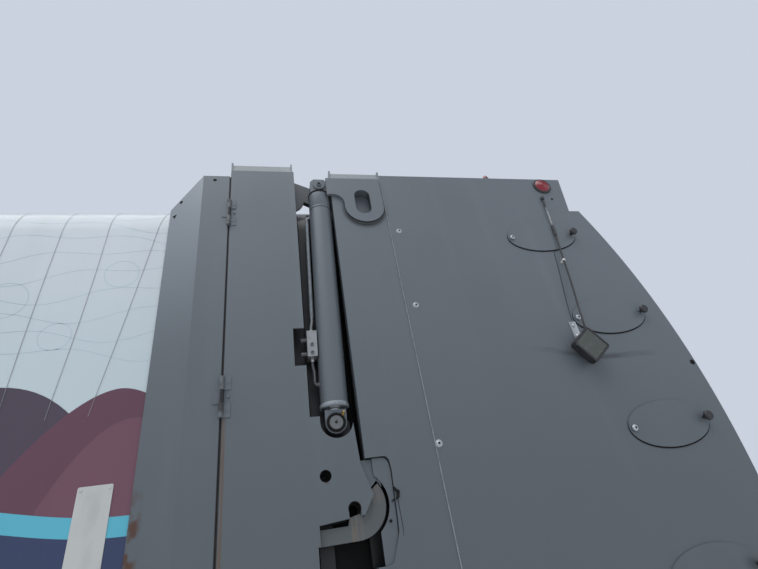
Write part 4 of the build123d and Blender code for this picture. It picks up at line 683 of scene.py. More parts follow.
def rotated(x, z, degrees, across, up):
    """Point (x, z) at a distance across and up from a centre, on axes turned by some degrees."""
    turn = math.radians(degrees)
    return (x + across * math.cos(turn) - up * math.sin(turn),
            z + across * math.sin(turn) + up * math.cos(turn))


def wall_plate(outline_points, y_near, y_far):
    """Flat plate from an outline in x and z, between two y values."""
    near = [(x, y_near, z) for x, z in outline_points]
    far = [(x, y_far, z) for x, z in outline_points]
    return rings([near, far])


def round_box(x_low, x_high, z_low, z_high, radius, steps=5):
    """Outline of a box with round corners."""
    corners = ((x_high - radius, z_high - radius, 0), (x_low + radius, z_high - radius, 90),
               (x_low + radius, z_low + radius, 180), (x_high - radius, z_low + radius, 270))
    return [point for x, z, start in corners for point in arc(x, z, radius, start, start + 90, steps)]


print("flat outlines ready")

# %% Left and right


def on_both(name, shape, finish, body="tailgate"):
    """A left shape and its mirror image as one piece."""
    piece(name, joined(shape, mirrored(shape)), finish, body)


def each_side(*parts):
    """Left shapes as pieces of their own, then their mirror images, each on its own side's body."""
    for side, flip in (("left", lambda shape: shape), ("right", mirrored)):
        for name, shape, finish, body in parts:
            piece(f"{side}_{name}", flip(shape), finish, f"{side}_{body}")


print("left and right helpers ready")

# %% [markdown]
# ## Bolts, screws and rivets
# Domed bolts stand on the side sheets and covers, and small screws hold the butt hinges, the
# lamp's bracket and the plate. Heads could be copied and placed by hand, but one Geometry Nodes
# group does it from a list of points: it puts a domed head with its washer on every point and
# faces it along the point's own direction. Each kind of head becomes one plain mesh on its body,
# so the bolts ride with the plate that they hold.

# %% Bolt group
DOME_STEPS = 16
DOME_RINGS = 8
BOLT_SIZES = ("Head radius", "Head rise", "Washer radius")
BOLT_SHARP_ANGLE = math.radians(50)


def make_bolt_group():
    tree = bpy.data.node_groups.new("domed_bolts", "GeometryNodeTree")
    sockets = tree.interface
    sockets.new_socket("Points", in_out="INPUT", socket_type="NodeSocketGeometry")
    for name, value in (("Head radius", 0.008), ("Head rise", 0.005), ("Washer radius", 0.012),
                        ("Washer rise", 0.002)):
        made = sockets.new_socket(name, in_out="INPUT", socket_type="NodeSocketFloat")
        made.default_value = value
    sockets.new_socket("Finish", in_out="INPUT", socket_type="NodeSocketMaterial")
    sockets.new_socket("Bolts", in_out="OUTPUT", socket_type="NodeSocketGeometry")
    given = add(tree, "NodeGroupInput").outputs
    dome = add(tree, "GeometryNodeMeshUVSphere", {"Segments": DOME_STEPS, "Rings": DOME_RINGS, "Radius": 1.0})
    size = add(tree, "ShaderNodeCombineXYZ", {"X": given["Head radius"], "Y": given["Head radius"],
                                              "Z": given["Head rise"]})
    head = add(tree, "GeometryNodeTransform", {"Geometry": dome.outputs["Mesh"], "Scale": size.outputs[0]})
    washer = add(tree, "GeometryNodeMeshCylinder", {"Vertices": DOME_STEPS, "Radius": given["Washer radius"],
                                                    "Depth": given["Washer rise"]})
    both = add(tree, "GeometryNodeJoinGeometry", {0: head.outputs[0]})
    tree.links.new(washer.outputs["Mesh"], both.inputs[0])
    facing = add(tree, "GeometryNodeInputNamedAttribute", {"Name": "facing"}, data_type="FLOAT_VECTOR")
    align = add(tree, "FunctionNodeAlignRotationToVector", {"Vector": facing.outputs["Attribute"]}, axis="Z")
    inputs = {"Points": given["Points"], "Instance": both.outputs[0], "Rotation": align.outputs[0]}
    spread = add(tree, "GeometryNodeInstanceOnPoints", inputs)
    real = add(tree, "GeometryNodeRealizeInstances", {0: spread.outputs[0]})
    finish = add(tree, "GeometryNodeSetMaterial", {"Geometry": real.outputs[0], "Material": given["Finish"]})
    add(tree, "NodeGroupOutput", {"Bolts": finish.outputs[0]})
    return tree


bolt_group = make_bolt_group()
print("bolt group:", len(bolt_group.nodes), "nodes")

# %% Bolts on every body


def at_depth(y, points):
    """Points (x, z) set at a distance from the middle plane."""
    return [(x, y, z) for x, z in points]


def scatter_bolts(name, places, finish, sizes, body="tailgate"):
    """Heads at places on the left side and mirrored on the right, as one plain mesh on a body."""
    mesh = bpy.data.meshes.new(name + "_points")
    mesh.from_pydata([(x, side * y, z) for x, y, z in places for side in (1, -1)], [], [])
    facing = mesh.attributes.new("facing", "FLOAT_VECTOR", "POINT")
    for index, vertex in enumerate(mesh.vertices):
        facing.data[index].vector = (0, math.copysign(1, vertex.co.y), 0)
    holder = bpy.data.objects.new(name + "_points", mesh)
    scene.collection.objects.link(holder)
    modifier = holder.modifiers.new("bolts", "NODES")
    values = dict(zip(BOLT_SIZES, sizes), Finish=finish.material)
    modifier.node_group = bolt_group
    for item in bolt_group.interface.items_tree:
        if item.in_out == "INPUT" and item.name in values:
            modifier[item.identifier] = values[item.name]
    depsgraph = bpy.context.evaluated_depsgraph_get()
    plain = bpy.data.meshes.new_from_object(holder.evaluated_get(depsgraph))
    bpy.data.objects.remove(holder)
    show(name, plain, body, BOLT_SHARP_ANGLE)
    print(name + ":", 2 * len(places))


COVER_PLACES = [(2.8077, 1.836, 3.5), (2.9873, 1.336, 2.5), (3.0222, 0.802, 1.5), (2.9129, 0.266, 2.0)]
COVER_BOLT_REACH = -0.185
COVER_HEAD = -1.2325
BUTT_SCREWS = [(1.2055, -1.2232, z) for z in (1.034, 1.088, 1.142, 1.945, 1.998, 2.051)]
SIDE_BOLTS = [(2.008, 1.880), (2.009, 1.443), (1.976, 0.833)]
COVER_BOLTS = [rotated(*place, COVER_BOLT_REACH, 0.0) for place in COVER_PLACES]
SOCKETS = at_depth(SIDE - 0.0066, SIDE_BOLTS) + at_depth(COVER_HEAD - 0.0058, COVER_BOLTS)
scatter_bolts("side_bolts", at_depth(SIDE, SIDE_BOLTS), bolt_paint, (0.0115, 0.008, 0.0145))
scatter_bolts("cover_bolts", at_depth(COVER_HEAD, COVER_BOLTS), bolt_paint, (0.0125, 0.007, 0.0135))
# Flat black heads on the bolts: painted shade in each bolt's socket
scatter_bolts("bolt_sockets", SOCKETS, black_and_shade, (0.0052, 0.0019, 0.0030))
scatter_bolts("hinge_screws", BUTT_SCREWS, hinge_steel, (0.004, 0.0016, 0.0052), "body_shell")

# %% [markdown]
# ## Weld beads
# The side sheet is welded to the tailgate's post in one long upright seam, and the thick plate on
# top of the post has a bead round its lower edge. A bump in the paint could show a weld, but only
# a real raised edge catches the light along the seam, so a bead is a flat tube with a ripple in
# it, swept along its line.

# %% Weld beads
BEAD_PITCH = 0.011
BEAD_POINTS = 3
BEAD_RIPPLE = 0.22
BEAD_UNEVEN = 0.10
BEAD_SQUASH = 0.55


def bead(points, radius):
    """Rippled weld bead along a line of points."""
    line = []
    for start, end in zip(points, points[1:]):
        start, end = Vector(start), Vector(end)
        count = max(int((end - start).length / (BEAD_PITCH / BEAD_POINTS)), 1)
        line += [start.lerp(end, step / count) for step in range(count)]
    line.append(Vector(points[-1]))
    radii = [radius * (1 - BEAD_RIPPLE * abs(math.sin(math.pi * index / BEAD_POINTS))
                       + BEAD_UNEVEN * math.sin(index * 0.37)) for index in range(len(line))]
    return swept(line, radii, 8, BEAD_SQUASH)


WELD_DEPTH = SIDE - 0.001
SEAM_DEPTH = SIDE - 0.0006
seam = bead([(1.962, SEAM_DEPTH, -0.150), (1.962, SEAM_DEPTH, 2.236)], 0.0042)
lobe = bead(at_depth(WELD_DEPTH, arc(1.849, 2.036, 0.105, 0, -180, 30)), 0.0045)
edge = bead([(1.954, WELD_DEPTH, 2.038), (1.954, WELD_DEPTH, 2.230)], 0.0040)
on_both("post_seams", seam, weld_paint)
on_both("hook_plate_welds", joined(lobe, edge), grey_paint)
print("weld beads:", len(seam[0]) + len(lobe[0]) + len(edge[0]), "points")

# %% [markdown]
# ## Small fittings of the lift cylinder
# The barrel ends in a head with a black seal above and a pale lip below. A grease nipple stands
# on the rod's eye, and a black toothed ring holds the lower pin's round end. A Screw modifier
# could turn them, but it works round an object's own axis, while the cylinder leans. Profiles
# turned round any given line put each fitting straight onto the leaning cylinder.

# %% Lift cylinder fittings
TOP_PIN = (1.628, 2.210)
HINGE_PIN = (1.450, 2.305)
CYLINDER = -1.172
EYE_FACE = CYLINDER - 0.030
PIN_FACE = CYLINDER - 0.040


def toothed_ring(x, z, y, outer, inner, teeth, depth, rise):
    """Flat ring with small teeth inwards."""
    rows = [[], [], [], []]
    for step, angle in enumerate(full_turn(teeth * 2)):
        near = inner + (depth if step % 2 else 0.0)
        corners = ((outer, y), (outer - rise / 2, y - rise), (near, y - rise), (near, y))
        for row, (radius, place) in zip(rows, corners):
            row.append((x + radius * math.cos(angle), place, z + radius * math.sin(angle)))
    rows.append(rows[0])
    return rings(rows, closed=False)


def pin_dimple(place, radius):
    """Raised centre rim with a small hole in it."""
    profile = [(-0.001, radius * 1.5), (0.0012, radius * 1.4), (0.0016, radius * 1.05),
               (0.0004, radius * 0.9), (0.0002, 0.0004)]
    return turned_shape(place, OUTWARD, profile)


def nipple(place, direction):
    """Grease nipple: hexagon foot, neck and round head."""
    foot = turned_shape(place, direction, [(-0.002, 0.0070), (0.0060, 0.0070), (0.0065, 0.0060)], 6)
    head = turned_shape(place, direction, [(0.006, 0.0040), (0.011, 0.0034), (0.013, 0.0048), (0.017, 0.0046),
                                           (0.019, 0.0022), (0.0195, 0.0004)], 16)
    return joined(foot, head)


# Profiles of (distance along the axis, radius)
HEAD_PROFILE = [(0.002, 0.0500), (0.010, 0.0548), (0.014, 0.0551), (0.1030, 0.0551), (0.1035, 0.0548)]
SEAL_PROFILE = [(0.0, 0.0440), (0.002, 0.0530), (0.005, 0.0568), (0.011, 0.0574), (0.014, 0.0564),
                (0.015, 0.0545)]
LIP_PROFILE = [(-0.016, 0.0548), (-0.012, 0.0572), (-0.004, 0.0580), (0.000, 0.0572), (0.0015, 0.0545),
               (0.0015, 0.0505), (-0.002, 0.0500)]
PIN_PROFILE = [(-0.001, 0.0270), (0.0030, 0.0268), (0.0042, 0.0255), (0.0036, 0.0150), (0.0044, 0.0085),
               (0.0040, 0.0062), (0.0006, 0.0056), (0.0004, 0.0004)]
CENTRE_PROFILE = [(0.0, 0.0070), (0.0008, 0.0066), (0.0010, 0.0004)]
BARREL_STEPS = 48
HEAD_START = 0.048
NIPPLE_PLACE = (LOW_PIN[0] + 0.026, EYE_FACE, LOW_PIN[1] + 0.0275)
barrel_run = Vector((LOW_PIN[0] - TOP_PIN[0], 0, LOW_PIN[1] - TOP_PIN[1])).normalized()
barrel_end = (TOP_PIN[1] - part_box("lift_barrel_left")[0][2]) / -barrel_run.z


def beside_barrel(along, out=0.0):
    """Point at a distance along the lift cylinder from its top pin, and beside its axis."""
    left = Vector((barrel_run.z, 0, -barrel_run.x))
    return tuple(Vector((TOP_PIN[0], CYLINDER, TOP_PIN[1])) + barrel_run * along + left * out)


def on_barrel(start, profile):
    return turned_shape(beside_barrel(start), barrel_run, profile, BARREL_STEPS)


pin_ring = toothed_ring(*LOW_PIN, EYE_FACE - 0.0002, 0.0350, 0.0275, 22, 0.0040, 0.0045)
pin_end = turned_shape((LOW_PIN[0], EYE_FACE, LOW_PIN[1]), OUTWARD, PIN_PROFILE, 32)
each_side(("pin_ring", pin_ring, black_and_shade, "rod"), ("pin_end", pin_end, pin_steel, "rod"),
          ("nipple", nipple(NIPPLE_PLACE, (0.35, -0.8, 0.5)), brass, "rod"),
          ("barrel_head", on_barrel(HEAD_START, HEAD_PROFILE), grey_paint, "barrel"),
          ("barrel_seal", on_barrel(HEAD_START, SEAL_PROFILE), black_and_shade, "barrel"),
          ("barrel_lip", on_barrel(barrel_end, LIP_PROFILE), weld_paint, "barrel"))
for name, (x, z), y in (("top_pin", TOP_PIN, PIN_FACE - 0.0085), ("hinge_pin", HINGE_PIN, -1.1125)):
    on_both(name + "_ends", pin_dimple((x, y + 0.0005, z), 0.009), hinge_steel)
    on_both(name + "_centres", turned_shape((x, y - 0.0002, z), OUTWARD, CENTRE_PROFILE, 20), black_and_shade)
print("lift cylinder fittings made")

# %% [markdown]
# ## Lamps and their lead
# The clearance lamp's red lens has fine rings under its skin. The square work lamp's dark lens is
# a grid of small bowls behind glass. A bump could draw both patterns, but real relief breaks up
# the reflection as a lens does, so the rings are a wavy profile turned round its axis, and the
# bowls a square grid of points. The lead wears a dark sleeve for a short stretch, where it would
# rub on the sheet.

# %% Lamp lenses
MARKER = (2.958, 2.219)
LAMP = (2.763, 1.162)
LAMP_TURN = 36
LAMP_FRONT = -1.290
LENS_HALF = 0.0535
LENS_CELLS = 6
LENS_DEPTH = 0.0015
CELL_STEPS = 4
RING_STEPS = 4
RING_RIPPLE = 0.0007


def ringed_dome(place, radius, rise, count):
    """Domed disc with concentric rings pressed into it."""
    profile = [(-0.002, radius)]
    for step in range(count * RING_STEPS + 1):
        share = 1 - step / (count * RING_STEPS)
        ripple = RING_RIPPLE * math.cos(math.tau * step / RING_STEPS)
        profile.append((rise * (1 - share ** 2.4) + ripple, max(radius * share, 0.0003)))
    return turned_shape(place, OUTWARD, profile, 36)


def lens_grid(half, cells, y_edge, rise):
    """Square plate whose front is a grid of small bowls, in the lamp's own turn."""
    steps = cells * CELL_STEPS
    rows = []
    for row in range(steps + 1):
        front, back = [], []
        for column in range(steps + 1):
            cup = abs(math.sin(math.pi * column / CELL_STEPS) * math.sin(math.pi * row / CELL_STEPS))
            across, up = (-half + 2 * half * place / steps for place in (column, row))
            x, z = rotated(*LAMP, LAMP_TURN, across, up)
            front.append((x, y_edge - rise * cup, z))
            back.append((x, y_edge + LENS_DEPTH, z))
        rows.append(front + back[::-1])
    return rings(rows)


on_both("marker_rings", ringed_dome((MARKER[0], -1.2362, MARKER[1]), 0.0330, 0.0030, 5), red_lens)
on_both("work_lenses", lens_grid(LENS_HALF, LENS_CELLS, LAMP_FRONT + 0.0016, 0.0014), dark_lens)
print("lenses made")

# %% Lead sleeve and bracket bolts
SLEEVE_LINE = [(2.8950, -1.2328, 1.902), (2.8948, -1.2329, 1.900), (2.8890, -1.2340, 1.850),
               (2.8866, -1.2354, 1.832), (2.8865, -1.2355, 1.830)]
BRACKET_BOLTS = [(2.763, -1.2245, z) for z in (1.236, 1.290)]
on_both("lead_sleeves", swept(SLEEVE_LINE, [0.0060, 0.0072, 0.0074, 0.0072, 0.0060], 14), seal_rubber)
scatter_bolts("bracket_bolts", BRACKET_BOLTS, zinc, (0.008, 0.006, 0.0125))

# %% [markdown]
# ## Valve screws and pipe nuts
# The lock valve is a pale alloy block with two cap screws. A hexagon nut closes each pipe's end.
# Bought-in parts like these could come from a library, but a profile turned in six steps makes a
# nut that already leans with its pipe. The upper pipe gets its full thickness as a swept tube.

# %% Valve block
BLOCK_LEFT = -1.202
BLOCK_MIDDLE = 0.0763
CAP_SCREW = [(-0.001, 0.96), (0.0045, 1.0), (0.0055, 0.88), (0.0055, 0.52), (0.0022, 0.50), (0.0022, 0.04)]
CAP_SCREW_RADIUS = 0.0075
NUT_PROFILE = [(0.0, 0.00903), (0.0015, 0.0105), (0.0125, 0.0105), (0.014, 0.00903)]
PIPE_PLACES = (0.222, 0.224, 0.50, 0.782, 0.784)
PIPE_RADII = [0.0062, 0.0080, 0.0080, 0.0080, 0.0062]


def cap_screw(along):
    """Round screw head with a hexagon socket, on the valve block."""
    x, _, z = beside_barrel(along, BLOCK_MIDDLE)
    profile = [(rise, CAP_SCREW_RADIUS * size) for rise, size in CAP_SCREW]
    return turned_shape((x, BLOCK_LEFT, z), OUTWARD, profile)


def pipe_nut(along):
    """Hexagon nut round a pipe."""
    return turned_shape(beside_barrel(along, BLOCK_MIDDLE), (-0.024, 0, -1), NUT_PROFILE, 6)


upper_pipe = swept([beside_barrel(along, 0.071) for along in PIPE_PLACES], PIPE_RADII, 16)
each_side(("valve_screws", joined(cap_screw(0.924), cap_screw(0.960)), hinge_steel, "barrel"),
          ("pipe_nuts", joined(pipe_nut(0.846), pipe_nut(0.977)), zinc, "barrel"),
          ("upper_pipe", upper_pipe, weld_paint, "barrel"))
print("valve screws and pipe nuts made")

# %% [markdown]
# ## Round the latch
# The recess round the latch is lined with a thin apron behind the bracket's edge, and the hook
# has a lug that closes the notch from behind. Booleans could cut such plates, but a flat outline
# pushed out between two depths keeps its edges crisp with few faces. A dark line along the
# recess's edge is painted shade, and a torn scrap of black sealant hangs out. They are thin tubes
# swept along a few points.

# %% Latch apron, lug, painted shade line and sealant
HOOK_CENTRE = (1.640, 0.663)
APRON_DEPTHS = (-1.2035, -1.2015)
SPACER_DEPTHS = (-1.2065, -1.2033)
LUG_DEPTHS = (-1.1992, -1.1900)
APRON = [(1.652, 0.809), (1.735, 0.809), *arc(*HOOK_CENTRE, 0.107, 27.5, 43.0, 10), (1.683, 0.702),
         (1.652, 0.702)]
SPACER = [(1.714, 0.806), (1.735, 0.806), *arc(*HOOK_CENTRE, 0.1142, 34.0, 49.0, 4)]
LUG = [(1.604, 0.6040), (1.611, 0.631), (1.649, 0.639), *arc(*HOOK_CENTRE, 0.040, -60, 38, 10),
       *arc(*HOOK_CENTRE, 0.0575, 38, -88, 10)]
RECESS_SHADE_LINE = [(1.694, 0.8118), (1.742, 0.8118), (1.7585, 0.8085), (1.7690, 0.7995), (1.7735, 0.7880),
           (1.7760, 0.7600), (1.7745, 0.6900), (1.7722, 0.6000), (1.7680, 0.5560), (1.7560, 0.5240)]
RECESS_SHADE_RADII = [0.0016, 0.0022, 0.0022, 0.0020, 0.0018, 0.0014, 0.0013, 0.0012, 0.0010, 0.0006]
SCRAP = [(1.7760, -1.2210, 0.705), (1.7800, -1.2235, 0.694), (1.7880, -1.2240, 0.690),
         (1.7850, -1.2225, 0.672), (1.7780, -1.2215, 0.664)]
SCRAP_FOOT = [(1.7720, -1.2208, 0.668), (1.7660, -1.2212, 0.661), (1.7600, -1.2208, 0.660)]
SCRAP_THREAD = [(1.7835, -1.2202, 0.664), (1.7850, -1.2202, 0.620), (1.7865, -1.2202, 0.580),
                (1.7850, -1.2202, 0.552)]

on_both("latch_aprons", joined(wall_plate(APRON, *APRON_DEPTHS), wall_plate(SPACER, *SPACER_DEPTHS)),
        grey_paint)
on_both("hook_lugs", wall_plate(LUG, *LUG_DEPTHS), hook_paint, "body_shell")
# The line along the recess's edge is painted shade; the scrap, its foot and its thread are black sealant.
on_both("recess_shade_and_sealant", joined(swept(at_depth(-1.2132, RECESS_SHADE_LINE), RECESS_SHADE_RADII, 8),
                                 swept(SCRAP, [0.0030, 0.0058, 0.0066, 0.0060, 0.0022], 8),
                                 swept(SCRAP_FOOT, [0.0024, 0.0028, 0.0010], 8),
                                 swept(SCRAP_THREAD, [0.0014, 0.0010, 0.0010, 0.0005], 6)), black_and_shade)
print("latch apron, lug and sealant made")

# %% [markdown]
# ## Seals, gaskets and plugs
# A rubber lip on the post closes the fairing's seam, each oval cover sits on a thin black gasket,
# and rubber plugs and dark drillings dot the sheets. They are what makes the edges read as lines.
# The gaskets sit a little low, so their dark edge below each cover is painted shade. The drillings
# could be cut out, but at their size a thin dark disc, painted shade for the hole, looks the same
# and leaves the sheet alone. A small red lamp stands at the roof's edge, and a fine dark line
# beside the lead is its painted shadow.

# %% Seam lips
SEAM_LIP = [(1.1835, -1.2095), (1.1700, -1.2095), (1.1655, -1.2105), (1.1645, -1.2120), (1.1660, -1.2135),
            (1.1700, -1.2140), (1.1740, -1.2132), (1.1835, -1.2132)]
SEAM_HEIGHTS = (0.022, 1.0, 2.0, 2.249)
seam_lip = rings([[(x, y, z) for x, y in SEAM_LIP] for z in SEAM_HEIGHTS])
on_both("seam_lips", seam_lip, seal_rubber, "body_shell")
print("seam lips made")

# %% Cover gaskets
COVER_HALVES = (0.206, 0.0975)
GASKET_LAP = 0.0020
GASKET_SHADE_DROP = 0.0034
GASKET_SHEET = 0.0024
GASKET_STEPS = 72


def gasket(x, z, turn):
    """Thin oval sheet a little larger than its cover, set a little low so that its dark edge below the cover
    is painted shade.
    """
    across, up = (half + GASKET_LAP for half in COVER_HALVES)
    # Set low, so that mostly the lower edge shows below the cover, as painted shade
    oval = [rotated(x, z - GASKET_SHADE_DROP, turn, across * math.cos(angle), up * math.sin(angle))
            for angle in full_turn(GASKET_STEPS)]
    return wall_plate(oval, SIDE - GASKET_SHEET, SIDE)


on_both("cover_gaskets_and_shade", joined(*(gasket(*place) for place in COVER_PLACES)), black_and_shade)
print(len(COVER_PLACES), "gaskets on each side")

# %% Plugs, drillings, roof lamp and the lead's painted shadow
PLUG_PROFILE = [(-0.0008, 0.0105), (0.0016, 0.0100), (0.0026, 0.0080), (0.0018, 0.0045), (0.0016, 0.0004)]
PLUGS = [(3.3160, 1.0610, 1.20), (1.7481, 0.601, 0.50), (2.987, 2.118, 0.62)]
SLANT = (-0.5488, -0.8360, 0)
DRILLING_PROFILE = [(-0.0003, 0.0092), (0.0004, 0.0090), (0.0006, 0.0078), (0.0003, 0.0004)]
TRIANGLE_PROFILE = [(-0.0003, 0.0150), (0.0005, 0.0145), (0.0006, 0.0004)]
ROOF_LAMP = (2.622, -1.2015, 2.279)
LAMP_FOOT = [(-0.001, 0.0170), (0.012, 0.0165), (0.014, 0.0150), (0.0145, 0.0004)]
LAMP_DOME = [(0.013, 0.0145), (0.024, 0.0140), (0.032, 0.0105), (0.0365, 0.0050), (0.0375, 0.0004)]
LEAD_SHADOW_LINE = [(2.8697, 1.8752), (2.8414, 1.7299), (2.8156, 1.5817), (2.7867, 1.4325), (2.7688, 1.3208)]
LEAD_SHADOW_RADII = [0.0006, 0.0013, 0.0014, 0.0013, 0.0008]

plugs = [turned_shape((x, SIDE, z), OUTWARD, [(along, radius * size) for along, radius in PLUG_PROFILE], 20)
         for x, z, size in PLUGS]
on_both("tail_plugs", joined(*plugs), black_and_shade)
# Dark discs in place of the drilled holes: painted shade for each hole
holes = joined(turned_shape((1.1074, SIDE, 2.2203), OUTWARD, DRILLING_PROFILE, 20),
               turned_shape((0.9433, -1.1482, 2.1335), SLANT, DRILLING_PROFILE, 20),
               turned_shape((0.9159, -1.1302, 2.055), SLANT, TRIANGLE_PROFILE, 3))
each_side(("fairing_holes", holes, black_and_shade, "fairing"))
on_both("roof_lamp_feet", turned_shape(ROOF_LAMP, UPWARD, LAMP_FOOT), black_plastic)
on_both("roof_lamp_lenses", turned_shape(ROOF_LAMP, UPWARD, LAMP_DOME), red_lens)
# A thin dark line beside the lead: its painted shadow
on_both("lead_shadow_lines", swept(at_depth(SIDE - 0.0006, LEAD_SHADOW_LINE), LEAD_SHADOW_RADII, 6), black_and_shade)
print("plugs, drillings, roof lamps and the lead's scuff made")

# %% [markdown]
# ## Printed film on the body
# The body's side wears a printed film, here a plain landscape of its own: a pale sky that turns
# greenish, faint contour lines, an amber sun, rounded hills, a light stream and a dark foot. An
# image would have to be drawn and unwrapped, while an outline for each colour stays crisp from
# any distance. So each colour is its own thin layer, a little further out than the one below.
# Long creases show where the wall's stiffeners lie; their darker strips are painted shade. A blank
# plate on four screws hangs low near the fairing.

# %% Film colours
FILM_SKY = (0.585, 0.635, 0.675)
FILM_SKY_LOW = (0.520, 0.605, 0.635)
FILM_SKY_CORNER_SHADE = (0.370, 0.410, 0.445)
FILM_LINE = (0.44, 0.55, 0.60)
FILM_CREASE_SHADE = (0.24, 0.25, 0.28)
FILM_SUN = (0.78, 0.36, 0.10)
FILM_PLUM = (0.062, 0.042, 0.068)
FILM_WINE = (0.115, 0.040, 0.068)
FILM_WINE_PALE = (0.150, 0.058, 0.088)
FILM_CORAL = (0.52, 0.105, 0.088)
FILM_STREAM = (0.090, 0.430, 0.560)
FILM_NAVY = (0.022, 0.036, 0.100)
FILM_SHADE = 0.22


def film_finish(name, colour, shade=FILM_SHADE):
    """Smooth printed vinyl with a faint weathered veil."""
    veil = tuple(part * (1 - shade) for part in colour)
    return speckled(name, colour, 0.32, (veil, 5.0, 4.0, 0.45, 0.70, 0.7), rough=(5.0, 4.0, 0.26, 0.42),
                    stretch=(1.0, 1.0, 0.25), coat=0.25, coat_roughness=0.25)


def make_sky_film():
    """The sky turns greenish low down, and painted shade darkens it round the roof's corner."""
    finish = film_finish("film_sky", FILM_SKY, 0.06)
    finish.paint(FILM_SKY_LOW, finish.along("Z", 1.20, 1.85, 1.0, 0.0))
    # Painted shade where the film turns round the roof's corner
    finish.paint(FILM_SKY_CORNER_SHADE, finish.along("Z", 1.99, 2.10, 0.0, 0.92))
    return finish


film_sky = make_sky_film()
print("film colours ready")

# %% Film layers
FILM_FRONT = 0.012
FILM_BACK = 1.176
FILM_LOW = 0.055
FILM_LAYER = 0.0003
FILM_SHEET = FILM_LAYER * 0.9
BEND_CENTRE = (-0.867, 1.995)
BEND_RADIUS = 0.235
BEND_LENGTH = BEND_RADIUS * math.pi / 2
BEND_STEPS = 36


def wave_line(x_low, x_high, height, steps=40):
    """Points along a curve z = height(x)."""
    places = [x_low + (x_high - x_low) * step / steps for step in range(steps + 1)]
    return [(x, height(x)) for x in places]


def hill(x, middle, width, base, rise, power):
    """Height of a rounded hill."""
    share = min(abs(x - middle) / width, 1.0)
    return base + rise * (1 - share ** power)


def bent(shape):
    """Rolls what lies above the wall's flat part round the roof's corner, at the same depth."""
    points, faces = shape
    rolled = []
    for x, y, z in points:
        if z > BEND_CENTRE[1]:
            angle = (z - BEND_CENTRE[1]) / BEND_RADIUS
            reach = BEND_CENTRE[0] - y
            y = BEND_CENTRE[0] - reach * math.cos(angle)
            z = BEND_CENTRE[1] + reach * math.sin(angle)
        rolled.append((x, y, z))
    return rolled, faces


def under(height, x_low=FILM_FRONT, x_high=FILM_BACK):
    """Outline of all that lies under a curve, down to the film's foot."""
    return wave_line(x_low, x_high, height) + [(x_high, FILM_LOW), (x_low, FILM_LOW)]


def far_hills(x):
    return max(hill(x, 0.36, 0.46, 0.86, 0.38, 2.2), hill(x, 0.02, 0.30, 0.90, 0.20, 2.0), 0.86)


def stream(x):
    return 0.815 - 0.10 * (x - 0.4) + 0.022 * math.sin(6.0 * x)


def strip_cut(low, high, near):
    """The four corners where a thin strip is cut across, from two points (x, z) at its outer depth."""
    far = near + FILM_SHEET
    return [(low[0], near, low[1]), (high[0], near, high[1]), (high[0], far, high[1]), (low[0], far, low[1])]


def sky_shape():
    """Film from the wall's foot up and round the roof's corner, as one bent sheet."""
    flat_top = BEND_CENTRE[1]
    rounded = [flat_top + BEND_LENGTH * (step + 1) / BEND_STEPS for step in range(BEND_STEPS)]
    return bent(rings([strip_cut((FILM_FRONT, z), (FILM_BACK, z), WALL - FILM_LAYER)
                       for z in (FILM_LOW, flat_top, *rounded)]))


# Each outline in x and z, from the lowest layer to the top one
LAYERS = [
    ("film_sun", [(max(x, FILM_FRONT), z) for x, z in arc(0.115, 1.235, 0.165, 0, 360, 40)[:-1]],
     FILM_SUN, 0.10),
    ("film_far_hills", under(far_hills), FILM_PLUM, FILM_SHADE),
    ("film_slope", under(lambda x: hill(x, 1.02, 0.30, 0.80, 0.40, 1.3), 0.72), FILM_CORAL, 0.12),
    ("film_near_hill", under(lambda x: hill(x, 0.80, 0.40, 0.80, 0.40, 1.8), 0.40, 1.12),
     FILM_WINE, FILM_SHADE),
    ("film_near_hill_top", under(lambda x: hill(x, 0.86, 0.27, 0.78, 0.30, 2.0), 0.60, 1.12),
     FILM_WINE_PALE, FILM_SHADE),
    ("film_stream", under(stream), FILM_STREAM, 0.12),
    ("film_foot", under(lambda x: stream(x) - 0.062), FILM_NAVY, FILM_SHADE),
]
on_both("film_sky", sky_shape(), film_sky, "body_shell")
for index, (name, outline_points, colour, shade) in enumerate(LAYERS):
    near = WALL - FILM_LAYER * (index + 2)
    shape = wall_plate(outline_points, near, near + FILM_SHEET)
    on_both(name, shape, film_finish(name, colour, shade), "body_shell")
print("film:", 1 + len(LAYERS), "layers on each side")

# %% Contour lines and creases
CONTOUR_DISCS = [(0.30, 1.62, 0.085), (0.72, 1.74, 0.070), (0.98, 1.48, 0.095), (0.52, 1.44, 0.060)]
CREASES = [(0.245, 0.170, 0.010), (0.455, 0.405, -0.008), (0.640, 0.560, 0.012), (0.885, 0.700, 0.006)]
CONTOURS = 9
CONTOUR_HALF_WIDTH = 0.0014
DISC_HALF_WIDTH = 0.0013
CONTOUR_LAYER = 2
CREASE_HALF_WIDTH = 0.0009
CREASE_LAYER = 9
CREASE_TOP = 2.30
CREASE_FOOT = 1.10
CREASE_STEPS = 40


def line_on_wall(line, half_width, depth):
    """Thin strip along x, z points on the wall, in short runs that can follow the roof's corner."""
    sections = []
    for (x, z), run in zip(line, directions(line)):
        across, up = run.y * half_width, run.x * half_width
        sections.append(strip_cut((x - across, z + up), (x + across, z - up), WALL - FILM_LAYER * depth))
    return rings(sections)


def contour_height(index):
    """The wavy line with that number, from the lowest up."""
    base, phase = 1.36 + 0.095 * index, 0.9 * index
    return lambda x: base + 0.035 * math.sin(5.2 * x + phase) + 0.018 * math.sin(13.0 * x + 2 * phase)


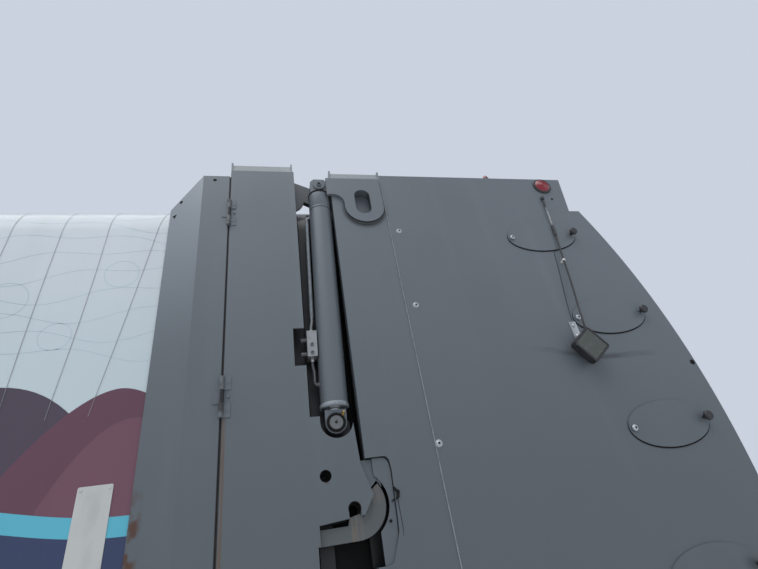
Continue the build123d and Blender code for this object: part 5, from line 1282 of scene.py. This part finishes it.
def crease_line(x_top, x_foot, bow):
    """Slightly bowed line down the wall, from beyond the roof's corner."""
    shares = [step / CREASE_STEPS for step in range(CREASE_STEPS + 1)]
    return [(x_top + (x_foot - x_top) * share + bow * math.sin(math.pi * share),
             CREASE_TOP - (CREASE_TOP - CREASE_FOOT) * share) for share in shares]


contour_lines = [wave_line(0.03, 1.15, contour_height(index)) for index in range(CONTOURS)]
contours = [line_on_wall(line, CONTOUR_HALF_WIDTH, CONTOUR_LAYER) for line in contour_lines]
contours += [line_on_wall(arc(*disc, 0, 360, 36), DISC_HALF_WIDTH, CONTOUR_LAYER) for disc in CONTOUR_DISCS]
creases = [line_on_wall(crease_line(*crease), CREASE_HALF_WIDTH, CREASE_LAYER) for crease in CREASES]
on_both("film_contours", bent(joined(*contours)), film_finish("film_line", FILM_LINE), "body_shell")
# The creases are flat darker strips: painted shade along each fold
on_both("film_creases", bent(joined(*creases)), film_finish("film_crease", FILM_CREASE_SHADE), "body_shell")
print(len(contours), "contour lines and", len(creases), "creases on each side")

# %% Blank plate
PLATE_DEPTHS = (WALL - 0.0045, WALL - FILM_LAYER * 8.5)
PLATE_SCREWS = [(x, z) for x in (0.725, 0.815) for z in (0.482, 0.843)]
plate_finish = speckled("blank_plate", (0.50, 0.51, 0.50), 0.38,
                        ((0.38, 0.39, 0.385), 20.0, 4.0, 0.45, 0.72, 0.5),
                        stretch=(1.0, 1.0, 0.3))
on_both("blank_plates", wall_plate(round_box(0.715, 0.825, 0.470, 0.855, 0.006), *PLATE_DEPTHS), plate_finish,
        "body_shell")
scatter_bolts("plate_screws", at_depth(WALL - 0.0047, PLATE_SCREWS), zinc, (0.0034, 0.0016, 0.0046),
              "body_shell")

# %% [markdown]
# ## The ground
# A wide pale floor lies at the wheels' level, well below the camera, and keeps the soft shadow. A
# bare backdrop would be simpler, but the shadow on a floor tells how high the tailgate hangs.

# %% Floor


def make_floor():
    """One square face at the ground's height."""
    finish = speckled("pale_floor", (0.60, 0.60, 0.59), 0.85, ((0.52, 0.52, 0.51), 0.8, 4.0, 0.40, 0.70, 0.3))
    mesh = bpy.data.meshes.new("floor")
    half = FLOOR_SIZE / 2
    corners = ((-half, -half), (half, -half), (half, half), (-half, half))
    mesh.from_pydata([(x, y, GROUND) for x, y in corners], [], [(0, 1, 2, 3)])
    mesh.materials.append(finish.material)
    made = bpy.data.objects.new("floor", mesh)
    scene.collection.objects.link(made)
    return made


make_floor()
print("floor at", GROUND)
